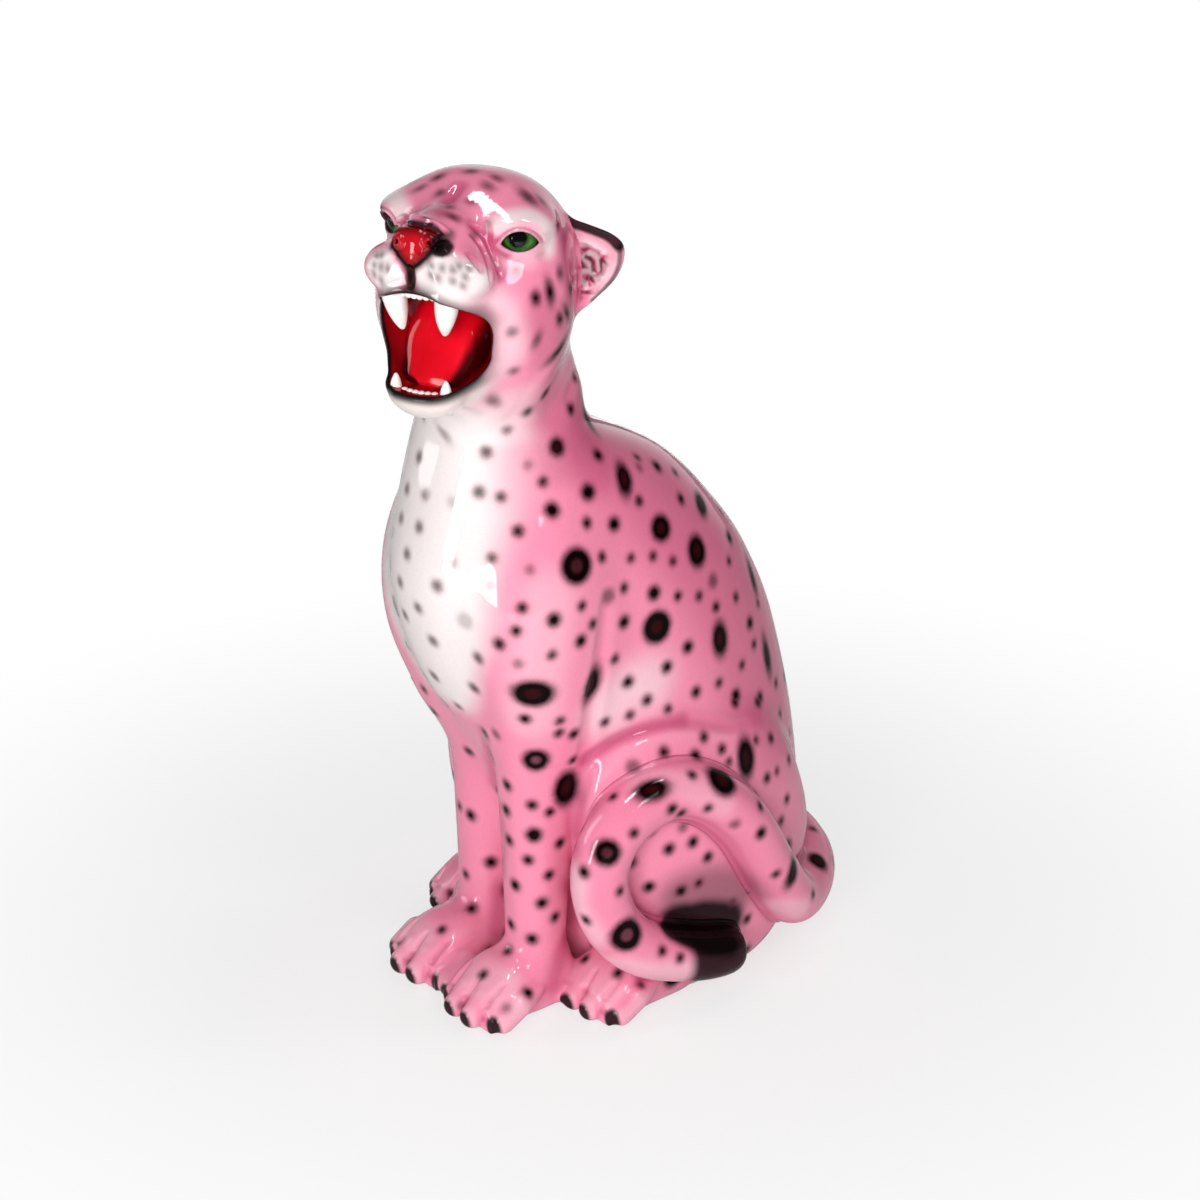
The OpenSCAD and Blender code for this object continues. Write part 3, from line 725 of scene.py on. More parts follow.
# Snarl wrinkles and folds of the face, as photo pixels: points, radius, depth, softness, raised
FACE_STROKES = (
    (((470, 225), (480, 232), (488, 242), (494, 259), (500, 276)), 2.3, 1.9, 1.2, False),
    (((470, 234), (476, 239), (484, 251), (489, 267), (491, 283)), 2.1, 1.7, 1.2, False),
    (((468, 255), (476, 263), (481, 271)), 1.7, 1.4, 1.0, False),
    (((487, 220), (488, 230), (490, 241)), 2.2, 2.2, 1.2, False),
    (((458, 185), (452, 194), (447, 203)), 2.2, 0.9, 2.0, False),
    (((437, 252), (445, 251), (451, 247), (453, 241)), 1.5, 1.1, 0.9, True),
    (((410, 266), (411, 276), (412, 287)), 2.3, 2.3, 1.2, False),
    (((391, 231), (400, 219), (413, 217), (428, 220), (441, 226), (451, 233)), 2.2, 1.3, 1.5, True),
    (((391, 236), (395, 228), (403, 224), (416, 225), (430, 229), (439, 234)), 1.5, 1.6, 0.9, False),
    (((424, 253), (431, 250), (435, 245), (433, 240), (428, 238), (424, 241), (424, 246)),
     2.2, 2.0, 0.8, True),
    (((431, 246), (430, 243), (428, 243)), 1.2, 1.6, 0.7, False),
    (((395, 245), (399, 246), (402, 242), (400, 237), (396, 237), (394, 240)), 1.9, 1.8, 0.8, True),
    (((397, 242), (398, 240)), 1.1, 1.4, 0.7, False),
)
LONE_STROKES = (6, 7, 8, 9, 10, 11, 12)
# Carved fur inside the ear, as photo pixels
EAR_STROKES = (
    (((585, 255), (591, 253), (597, 257), (599, 263), (599, 270)), 2.7, 2.6, 0.7, True),
    (((574, 251), (581, 257), (589, 263), (591, 270)), 2.7, 2.6, 0.7, True),
    (((580, 273), (587, 271), (595, 275)), 2.5, 2.4, 0.7, True),
    (((578, 279), (584, 282), (586, 287)), 2.5, 2.4, 0.7, True),
    (((577, 246), (587, 243), (597, 248), (604, 252)), 2.0, 1.5, 0.8, True),
    (((592, 278), (598, 280), (602, 275)), 2.2, 2.2, 0.7, True),
    (((604, 262), (607, 268), (605, 276)), 2.2, 2.2, 0.7, True),
    (((586, 257), (592, 261), (593, 270)), 1.5, 1.9, 0.7, False),
    (((601, 260), (601, 271)), 1.4, 1.8, 0.7, False),
    (((602, 259), (608, 265)), 1.5, 1.9, 0.7, False),
    (((575, 257), (579, 260), (583, 266)), 1.4, 1.8, 0.7, False),
    (((591, 278), (595, 284)), 1.4, 1.8, 0.7, False),
    (((580, 292), (592, 291), (602, 283)), 1.7, 1.6, 0.8, False),
)
STROKE_STEPS = 14


def march(fields, pixels, near=1250.0, far=2150.0, step=0.8):
    """First points of the fields' surfaces along the photo's rays, and which rays meet one."""
    rays = photo_rays(pixels)
    lengths = np.arange(near, far, step)
    found = np.full(len(rays), np.inf)
    for block, field in fields:
        points = PHOTO_EYE + rays[:, None, :] * lengths[None, :, None]
        flat = points.reshape(-1, 3)
        inside = block.holds(flat)
        values = np.full(len(flat), 1.0)
        values[inside] = block.at(field, flat[inside])
        values = values.reshape(len(rays), -1)
        hit = values < 0
        first = hit.argmax(1)
        rows = np.arange(len(rays))
        ahead = values[rows, np.maximum(first - 1, 0)]
        behind = values[rows, first]
        share = ahead / np.maximum(ahead - behind, 1e-6)
        depth = lengths[np.maximum(first - 1, 0)] + step * np.clip(share, 0, 1)
        found = np.minimum(found, np.where(hit.any(1), depth, np.inf))
    met = np.isfinite(found)
    depth = np.where(met, found, far)
    return PHOTO_EYE + rays * depth[:, None], met


def pinned_line(block, field, pixels, radius, depth):
    """A line on the clay through photo pixels, and lifted so that a bar of the radius bites so deep."""
    line = smooth_curve(pixels, STROKE_STEPS)
    points, met = march([(block, field)], line)
    points = points[met]
    return points, points + unit(block.slope(field, points)) * (radius - depth)


def mirror_image(points, in_head):
    """Points on the other side of the head or of the body."""
    if in_head:
        return from_head(to_head(points) * (-1, 1, 1))
    return np.asarray(points) * (-1, 1, 1)


def swelling(count, radius):
    """Radii of a stroke that thins out towards both ends."""
    return radius * (0.35 + 0.65 * np.sin(np.linspace(0, math.pi, count)) ** 0.6)


def stroke_set(block, field, table, in_head, lone=()):
    """Strokes of a table on both sides: points, radii, softness, raised."""
    strokes = []
    for index, (pixels, radius, depth, soft, raised) in enumerate(table):
        on, lifted = pinned_line(block, field, pixels, radius, depth)
        if raised:
            lifted = on - (lifted - on)
        radii = swelling(len(lifted), radius)
        strokes.append((lifted, radii, soft, raised))
        if index not in lone:
            strokes.append((mirror_image(lifted, in_head), radii, soft, raised))
    return strokes


def toe_grooves(block, field):
    """Grooves between the toes as strokes on the clay, save where a hind foot lies against the foreleg."""
    radius, depth, soft = TOE_GROOVE
    strokes = []
    for paw in (*FOREPAWS.values(), *HINDPAWS.values()):
        for step, next_step in zip(TOE_STEPS[:-1], TOE_STEPS[1:]):
            line, toe_radius = toe_line(paw, step)
            between = (line + toe_line(paw, next_step)[0]) / 2
            between[2] = between[1] + (between[2] - between[1]) * 0.2
            between[:, 2] += toe_radius
            on = block.settle(field, smooth_curve(between, 8), 4)
            normals = unit(block.slope(field, on))
            radii = radius * np.linspace(1.0, 0.35, len(on))
            sunk = on + normals * (radii * (1 - depth / radius))[:, None]
            hidden = paw in HINDPAWS.values() and abs(between[0, 0]) < abs(paw[0]) - 5
            if not hidden:
                strokes.append((sunk, radii, soft, False))
    return strokes


class Figure:
    """All castings of the animal as distances, each worked out once."""

    def __init__(self):
        self.blocks = {}
        self.parts = {}
        self.fields = {}
        self.creases = []
        self.build_head()
        self.build_body("body", BODY_BOX)
        self.creases = stroke_set(self.blocks["body"], self.fields["body"], BODY_CREASES, False)
        self.creases += toe_grooves(self.blocks["body"], self.fields["body"])
        self.finish_body("body")
        for name, box in (("front", FRONT_BOX), ("tail", TAIL_BOX)):
            self.build_body(name, box)
            self.finish_body(name)

    def build_head(self):
        """Head and ears on the finest block."""
        block = Block(*HEAD_BOX)
        plain = head_forms(block)
        mouth = mouth_distance(block)
        strokes = stroke_set(block, plain, FACE_STROKES, True, LONE_STROKES)
        head = head_carved(block, plain, mouth, strokes)
        parts = {"head": head, "torso": torso_distance(block, neck_only=True)}
        near_ear = ear_distance(block, LEFT, [])
        fur = stroke_set(block, near_ear, EAR_STROKES, True)
        parts["left_ear"] = ear_distance(block, LEFT, fur)
        parts["right_ear"] = ear_distance(block, RIGHT, fur)
        whole = melt(parts["torso"], parts["head"], HEAD_MELT)
        for side in SIDES:
            whole = melt(whole, parts[SIDE_NAMES[side] + "_ear"], EAR_MELT)
        self.blocks["head"] = block
        self.parts["head"] = parts
        self.fields["head"] = whole
        self.mouth = mouth
        self.plain_head = plain

    def build_body(self, name, box):
        """Torso, legs and tail on a block."""
        block = Block(*box)
        whole = torso_distance(block)
        parts = {"torso": whole}
        limbs = (
            ("_foreleg", foreleg_distance, FORELEG_MELT), ("_haunch", haunch_distance, HAUNCH_MELT),
            ("_hind_paw", hindpaw_distance, HINDPAW_MELT))
        for kind, limb_distance, radius in limbs:
            for side in SIDES:
                limb = limb_distance(block, side)
                parts[SIDE_NAMES[side] + kind] = limb
                whole = melt(whole, limb, radius)
        parts["tail"] = block.whole(tapered_tube(TAIL_POINTS))
        whole = melt(whole, parts["tail"], TAIL_MELT)
        if name == "body":
            parts["head"] = head_forms(block)
            whole = melt(whole, parts["head"], HEAD_MELT)
        self.blocks[name] = block
        self.parts[name] = parts
        self.fields[name] = whole

    def finish_body(self, name):
        """Creases, firing vent and the flat underside."""
        block = self.blocks[name]
        whole = self.fields[name]
        press_strokes(block, whole, self.creases)
        reach = VENT_D
        slices, x, y, z = block.cut((-reach, VENT_Y - reach, -4), (reach, VENT_Y + reach, BASE_Z + 14))
        bore = np.sqrt(x ** 2 + (y - VENT_Y) ** 2) - VENT_D / 2
        vent = np.maximum(bore, z - BASE_Z - 10)
        if vent.size:
            whole[slices] = carve(whole[slices], vent, 1.5)
        slices, x, y, z = block.cut(block.low, (1000, 1000, BASE_Z + 6))
        under = np.broadcast_to(BASE_Z - z, whole[slices].shape)
        whole[slices] = -melt(-whole[slices], -under, 1.2)

    def casting(self, name, block_name):
        """One casting: points, quads, outward normals and how far each point lies under a neighbour."""
        block = self.blocks[block_name]
        parts = self.parts[block_name]
        whole = self.fields[block_name]
        others = [distance for key, distance in parts.items() if key != name]
        under = parts[name] - functools.reduce(np.minimum, others)
        closed = np.maximum(whole + HIDDEN_DIP * np.maximum(under, 0), under - HIDDEN_LAP)
        points, quads = block.mesh(closed)
        covered = block.at(under, points)
        shown = covered < 0.5
        settled = block.settle(whole, points[shown], 1)
        points[shown] = settled
        normals = unit(block.slope(whole, points, 0.9))
        normals[covered > 1.5] = 0
        return points, quads, normals, covered

    def hollowness(self, points, block_name, reach):
        """How far the surface is hollow around points: above zero in creases, below on bulges."""
        block = self.blocks[block_name]
        whole = self.fields[block_name]
        total = np.zeros(len(points))
        for axis in WORLD_AXES:
            for sign in (1, -1):
                total += block.at(whole, points + sign * reach * axis)
        return -total / (6 * reach)


# Paint: listed photo pixels, pinned to the clay


def linear(code):
    """An sRGB hex colour as linear red, green and blue."""
    channels = [int(code[k:k + 2], 16) / 255 for k in (1, 3, 5)]
    return np.array([c / 12.92 if c <= 0.04045 else ((c + 0.055) / 1.055) ** 2.4 for c in channels])


PINK = "#F48DAC"
# deep pink: airbrushed colour, and also painted shade in creases and on sides that turn away from the light
DEEP_PINK = "#C24B74"
# fold pink: painted shade in folds and grooves
FOLD_SHADE_PINK = "#8E2A4C"
# pale pink: airbrushed colour, and also painted highlights on bulges and below the eye
PALE_PINK = "#F8C6D2"
BIB_WHITE = "#F2EAE9"
# brow white: white paint, and also painted highlights on the ear's fur ridges
BROW_WHITE = "#F4E4E4"
CHIN_WHITE = "#E6DCD8"
# brown and black: paint on lips, nose, claws and tail tip, and also painted shade in hollows and under the
# tail
BROWN_PAINT_AND_SHADE = "#3B211E"
BLACK_PAINT_AND_SHADE = "#0C0607"
MOUTH_RED = "#D90418"
# deep red: painted shade deep in the mouth, beside the tongue and at the nose pad's edge
SHADE_RED = "#5C0006"
NOSE_RED = "#C00E1E"
LID_PINK = "#EBA9BC"
FLANK_PALE = "#F6DDE2"

# Spots on the visible side: pixel across, pixel down, radius in mm
# A long spot adds its half length and the direction of its length in degrees below level
# The strength of a faint spot, or one above 1 for an open ring, comes last
HEAD_SPOTS = (
    (471, 171, 1.8, 2.4, 0, 0.75), (497, 178, 1.8, 2.6, 30, 0.65), (488, 186, 2.2, 3.2, 35, 0.6),
    (438, 177, 2, 2.8, -20, 0.8), (420, 188, 1.8, 2.6, -20, 0.6), (440, 193, 2, 2.2, 0, 0.7),
    (471, 201, 2, 2.2, 0, 0.6), (528, 197, 2.8, 5, 45, 0.75), (542, 201, 1.8, 3, 50, 0.6),
    (426, 217, 1.6, 2, 0, 0.7), (453, 217, 1.6, 2.2, 30, 0.75), (449, 207, 1.3, 1.5, 0, 0.7),
    (489, 223, 1.6, 2, 0, 0.35), (475, 234, 1.6, 2, 0, 0.6), (560, 273, 2, 2.8, 85, 0.7),
    (550, 292, 2.4, 5, 80), (536, 298, 2.3, 2.8, 80), (571, 288, 2.2, 3, 85), (560, 319, 2, 2.6, 70),
    (567, 313, 1.8, 3.4, 70), (512, 332, 2, 2.2, 0, 0.6), (537, 340, 2.2, 3.6, 110, 0.65),
    (559, 349, 2.5, 8, 125), (514, 371, 2, 2.2, 0, 0.6), (576, 377, 1.8), (516, 270, 1.5, 0.5),
    (558, 224, 3, 0.5),
)
WHISKER_DOTS = (
    (431, 266), (442, 268), (453, 270), (459, 266), (431, 275), (438, 278), (453, 281), (465, 277),
    (463, 286), (469, 268), (377, 256), (381, 255), (374, 264), (381, 267), (388, 269), (374, 274),
    (381, 280),
)
TORSO_SPOTS = (
    (493, 401, 2.5, 4, 40, 0.7), (546, 393, 3.1), (528, 412, 2.1), (571, 409, 2.4), (587, 415, 3.4, 9, 70),
    (507, 430, 2, 0.8), (444, 434, 2, 4, 50, 0.7), (557, 447, 4.5), (598, 455, 2.8), (486, 452, 2.6),
    (419, 457, 2.3), (528, 465, 1.7, 0.5), (543, 482, 2), (588, 492, 3.9), (479, 492, 2.6),
    (501, 497, 2.1), (425, 494, 2.2), (407, 489, 2), (452, 502, 2.4, 0.35), (552, 510, 3.7),
    (587, 523, 2.4), (419, 527, 2.3), (401, 518, 2), (518, 531, 2.6), (407, 554, 2.3), (492, 558, 2),
    (451, 562, 2.3, 0.6), (577, 566, 9.4, 1.05), (602, 557, 2.2), (530, 570, 2, 0.5), (400, 582, 2.3),
    (437, 586, 2.6), (489, 585, 2.3, 0.5), (608, 596, 3.8, 0.6), (418, 608, 2.3), (522, 608, 2.3),
    (582, 606, 2), (405, 615, 2.4), (614, 524, 3.3), (624, 479, 5.2, 9, 80), (637, 457, 1.5),
    (639, 467, 1.8, 0.5), (657, 466, 3), (675, 472, 2), (681, 499, 2.5), (701, 504, 5.4, 7, 80),
    (639, 501, 2.2), (661, 528, 7), (697, 551, 7.2, 8.6, 85), (729, 537, 3), (729, 561, 1.5),
    (721, 511, 1.5), (631, 558, 1.8), (653, 556, 1.9), (673, 561, 1.8), (654, 593, 3.7), (624, 588, 2.1),
    (678, 596, 2), (699, 596, 2), (713, 581, 3.4, 0.6), (716, 607, 2.3), (736, 597, 2),
    (752, 576, 3.6, 10, 75), (758, 603, 1.8), (593, 624, 2.2), (624, 622, 3.2), (657, 627, 9),
    (581, 641, 3), (720, 639, 5.8, 9.4, 85), (688, 647, 3), (750, 623, 3), (754, 644, 2),
    (767, 656, 4, 10, 80), (615, 659, 2), (667, 667, 2.8), (742, 665, 1.9), (628, 682, 2.8),
    (591, 684, 5.4, 10, 105), (719, 683, 2), (696, 692, 2.6), (776, 683, 2.2), (736, 695, 3),
    (760, 697, 2.5), (647, 700, 2.4), (465, 621, 4, 0.4), (554, 620, 3.4), (516, 631, 2.3),
    (499, 644, 2.8), (433, 641, 2.6), (408, 646, 1.8), (478, 658, 2.5), (552, 655, 1.9),
    (518, 664, 2.2, 0.5), (434, 676, 3), (474, 688, 2.7), (533, 694, 8, 11.5, 5), (458, 706, 1.8),
    (445, 703, 1.5),
)
LEG_SPOTS = (
    (525, 719, 2.7), (560, 721, 2), (559, 733, 2.2), (574, 734, 2.6), (496, 734, 2.6, 0.6),
    (485, 733, 2.4), (536, 760, 7, 1.25), (573, 760, 2), (507, 785, 2.6), (566, 788, 7.2, 10.5, 95),
    (532, 805, 2.4), (506, 810, 2.7), (550, 812, 2.2), (534, 835, 4), (509, 840, 2.4), (560, 843, 2.5),
    (528, 860, 2.4), (549, 875, 2.3), (515, 885, 2.8), (542, 903, 2.8), (555, 917, 2.3), (511, 924, 2.4),
    (532, 939, 2.7), (508, 951, 2.2), (483, 975, 2.4), (528, 993, 2.7), (506, 1008, 2, 0.5), (434, 711, 3),
    (424, 689, 1.8), (469, 751, 2.5), (453, 774, 2.2), (471, 815, 2.6), (460, 806, 1.6), (491, 862, 3),
    (466, 874, 2), (472, 909, 2.7), (442, 930, 2), (585, 959, 2.2), (618, 973, 2.3), (641, 985, 1.4),
    (451, 893, 1.7),
)
HAUNCH_SPOTS = (
    (668, 709, 1.8), (630, 715, 1.9), (605, 722, 2), (735, 702, 2.5), (758, 702, 2.5), (780, 714, 2),
    (790, 732, 1.6), (771, 738, 2.3), (756, 740, 1.6), (664, 752, 2.5), (704, 737, 2.2), (722, 749, 2.2),
    (729, 762, 1.7), (695, 756, 2.8), (746, 758, 6.4, 11, 85), (767, 778, 2.3), (777, 771, 1.5),
    (789, 759, 2), (787, 799, 2), (781, 821, 2), (633, 767, 3.5, 0.6), (669, 849, 2.8), (693, 842, 2.8),
    (708, 857, 2.6), (683, 827, 2.4, 0.6), (649, 887, 2.9), (681, 891, 2.7), (699, 883, 1.9),
    (733, 901, 1.7, 0.5), (747, 919, 2.6),
)
TAIL_SPOTS = (
    (652, 790, 5.8, 9.4, 165), (613, 797, 2), (692, 775, 1.9), (722, 780, 8.4, 9.6, 30), (672, 809, 2.6),
    (681, 813, 2.3), (708, 808, 1.9), (634, 833, 2.2), (735, 824, 2.4, 0.6), (760, 806, 2.2),
    (761, 833, 3), (607, 853, 7.2, 1.1), (584, 872, 2.8), (620, 891, 2), (586, 920, 2.2),
    (627, 935, 9.4, 1.2), (662, 951, 2.2), (680, 958, 2.2), (776, 874, 2), (792, 872, 4.6, 9, 100),
    (818, 861, 6.4), (813, 894, 2.3), (813, 829, 1.8),
)
# Radius, half length, direction and strength of a whisker dot
WHISKER_DOT = (0.75, 1.0, 70, 0.62)
CORE_FROM = 4.2
SPOT_REACH = 9.0
HEAD_FROM_Z = 372.0
MIRROR_GAP = 7.0
SCATTER_GAP = 10.8
SCATTER_TRIES = 9000
# Least slope towards the photo's eye at which a spot is seen, and lengths at which the way there is tried
LEAST_FACING = 0.12
SIGHT_LENGTHS = np.arange(6.0, 260.0, 4.0)
SCATTER_RADII = (1.9, 2.2, 2.4, 2.6, 3.0, 3.6, 5.2, 6.6)

# Edge of the white bib on the near side, from the jaw to its tip
BIB_EDGE = ((503, 395), (506, 453), (507, 518), (496, 564), (490, 619), (486, 650), (478, 693), (474, 716))
BIB_SOFT = 12.5
BIB_FADE = 0.3
BIB_NECK_HEIGHTS = (290.0, 350.0)
BIB_NECK_LIMITS = (-40.0, -82.0)

# Airbrush strokes, among them painted shade and painted highlights: colour, strength, half width in mm, fade
# in mm, mirrored, pixels
HEAD_AIRBRUSH = (
    (BROW_WHITE, 0.85, 1.0, 8.5, True,
     ((497, 224), (512, 217), (529, 215), (543, 222), (550, 235), (548, 247))),
    (BIB_WHITE, 0.95, 9, 9, False, ((437, 280), (452, 282), (470, 290))),
    (BIB_WHITE, 0.95, 6, 8, False, ((378, 266), (384, 276))),
    (PALE_PINK, 0.9, 3, 17, True, ((484, 303), (502, 322), (506, 346), (494, 372), (468, 396))),
    (CHIN_WHITE, 0.95, 10, 12, False, ((396, 408), (430, 411), (462, 402))),
    # painted highlight below the eye, then painted shade in the snarl wrinkles, the inner eye corner and the
    # forehead crease
    (PALE_PINK, 0.5, 3, 7, True, ((502, 258), (530, 256))),
    (DEEP_PINK, 0.6, 1.0, 5, True, ((470, 225), (480, 232), (488, 242), (494, 259), (500, 276))),
    (DEEP_PINK, 0.85, 1.5, 4, True, ((489, 240), (497, 246), (506, 252))),
    (DEEP_PINK, 0.6, 0.6, 2.5, True, ((468, 255), (476, 263), (481, 271))),
    (DEEP_PINK, 0.55, 1.0, 6, True, ((456, 187), (449, 200), (441, 214))),
    # painted shade on the temple and the low cheek, which turn away from the light; the temple is also
    # airbrushed deeper pink
    (DEEP_PINK, 0.85, 2.5, 9, True, ((566, 244), (570, 280), (573, 312))),
    (DEEP_PINK, 0.4, 5, 14, True, ((542, 318), (557, 330), (550, 346))),
    (DEEP_PINK, 0.5, 1.0, 4, False, ((404, 219), (420, 210), (438, 211), (458, 218))),
    (BROWN_PAINT_AND_SHADE, 0.7, 1.4, 5.0, False, ((409, 262), (410, 274), (411, 288))),
    (BLACK_PAINT_AND_SHADE, 0.97, 1.3, 2.0, False, ((410, 264), (411, 275), (412, 288))),
)
EAR_AIRBRUSH = (
    (PALE_PINK, 0.8, 2.0, 4, True, ((574, 236), (596, 240), (612, 252), (612, 268), (598, 292))),
    (BLACK_PAINT_AND_SHADE, 0.97, 2.4, 3.5, True, ((562, 213), (575, 222), (593, 228), (611, 236), (618, 244))),
    (BLACK_PAINT_AND_SHADE, 0.75, 0.5, 1.8, True, ((620, 248), (619, 265), (611, 281), (593, 300))),
)
BODY_AIRBRUSH = (
    # deeper pink along the back, partly painted shade where the body turns away from the light
    (DEEP_PINK, 0.48, 14, 36, True, ((604, 440), (650, 486), (704, 556), (746, 636), (772, 716))),
    # painted shade on the neck, under the jaw and towards its back
    (DEEP_PINK, 0.4, 3, 16, True, ((552, 398), (547, 430), (554, 466))),
    (DEEP_PINK, 0.5, 6, 18, True, ((588, 392), (580, 430), (592, 468))),
    (DEEP_PINK, 0.6, 2, 9, True, ((562, 356), (548, 384), (530, 408))),
    # painted shade between the forelegs and down the near foreleg's right side
    (DEEP_PINK, 0.6, 1.5, 8, False, ((484, 735), (497, 790), (503, 860), (496, 930))),
    (DEEP_PINK, 0.55, 1.5, 9, False, ((579, 800), (574, 860), (566, 930), (552, 985))),
    (FLANK_PALE, 0.62, 2, 27, True, ((606, 712), (622, 694), (648, 684))),
    (PALE_PINK, 0.45, 5, 22, True, ((550, 600), (542, 650), (532, 715))),
    # painted shade in the crease over the haunch
    (DEEP_PINK, 0.75, 1.0, 6, True, ((583, 760), (617, 739), (650, 726), (682, 720))),
    (DEEP_PINK, 0.4, 1.0, 9, True, ((682, 720), (720, 722), (758, 716))),
    (PALE_PINK, 0.7, 4, 12, False, ((574, 880), (576, 905), (590, 935))),
    (PALE_PINK, 0.75, 4, 10, False, ((610, 962), (650, 974), (686, 974))),
    (PALE_PINK, 0.4, 5, 14, True, ((478, 978), (500, 986), (512, 1000))),
    (PALE_PINK, 0.25, 4, 12, True, ((584, 974), (604, 988))),
    (PALE_PINK, 0.35, 4, 10, False, ((640, 778), (690, 786), (722, 806))),
    (PALE_PINK, 0.6, 3, 10, False, ((776, 906), (800, 910))),
    # painted shade inside the tail's loop, then black airbrush over the tail tip that also paints the shade
    # where the tail lies against the haunch
    (BROWN_PAINT_AND_SHADE, 0.6, 5, 20, False, ((682, 897), (712, 888), (738, 892))),
    (BLACK_PAINT_AND_SHADE, 0.97, 9, 8, False, ((680, 927), (700, 920), (726, 922))),
    (BLACK_PAINT_AND_SHADE, 0.97, 5, 6, False, ((670, 930), (690, 937), (708, 942), (728, 943))),
)
CLAW_REACH = 5.3
# Black tip of the tail: y where the black starts, is full and stops, and its top
TAIL_TIP = (-37.0, -27.0, 21.0, 54.0)


def tongue_half(forward):
    """Half width of the tongue at lengths forward of the eyes."""
    stations = np.array(TONGUE_SECTIONS, float)
    return np.interp(forward, stations[:, 0], stations[:, 3])


def nose_pad_corners():
    """Corners of the nose pad's edge, the far side's folded onto the near side."""
    return np.array(NOSE_PAD + ((-8.0, -4.0), (-8.0, 17.0)), float)


def line_distance(points, line):
    """Shortest distance from each point to a line of points."""
    nearest = np.full(len(points), np.inf)
    if len(line) == 1:
        return np.linalg.norm(points - line[0], axis=1)
    for a, b in zip(line[:-1], line[1:]):
        d = b - a
        along = np.clip(((points - a) @ d) / max(d @ d, 1e-9), 0, 1)
        gap = points - a - along[:, None] * d
        nearest = np.minimum(nearest, np.einsum("ij,ij->i", gap, gap))
    return np.sqrt(nearest)


def lay(coat, colour, weight):
    """Lays a colour over a coat by weight."""
    coat += (linear(colour) - coat) * np.clip(weight, 0, 1)[:, None]


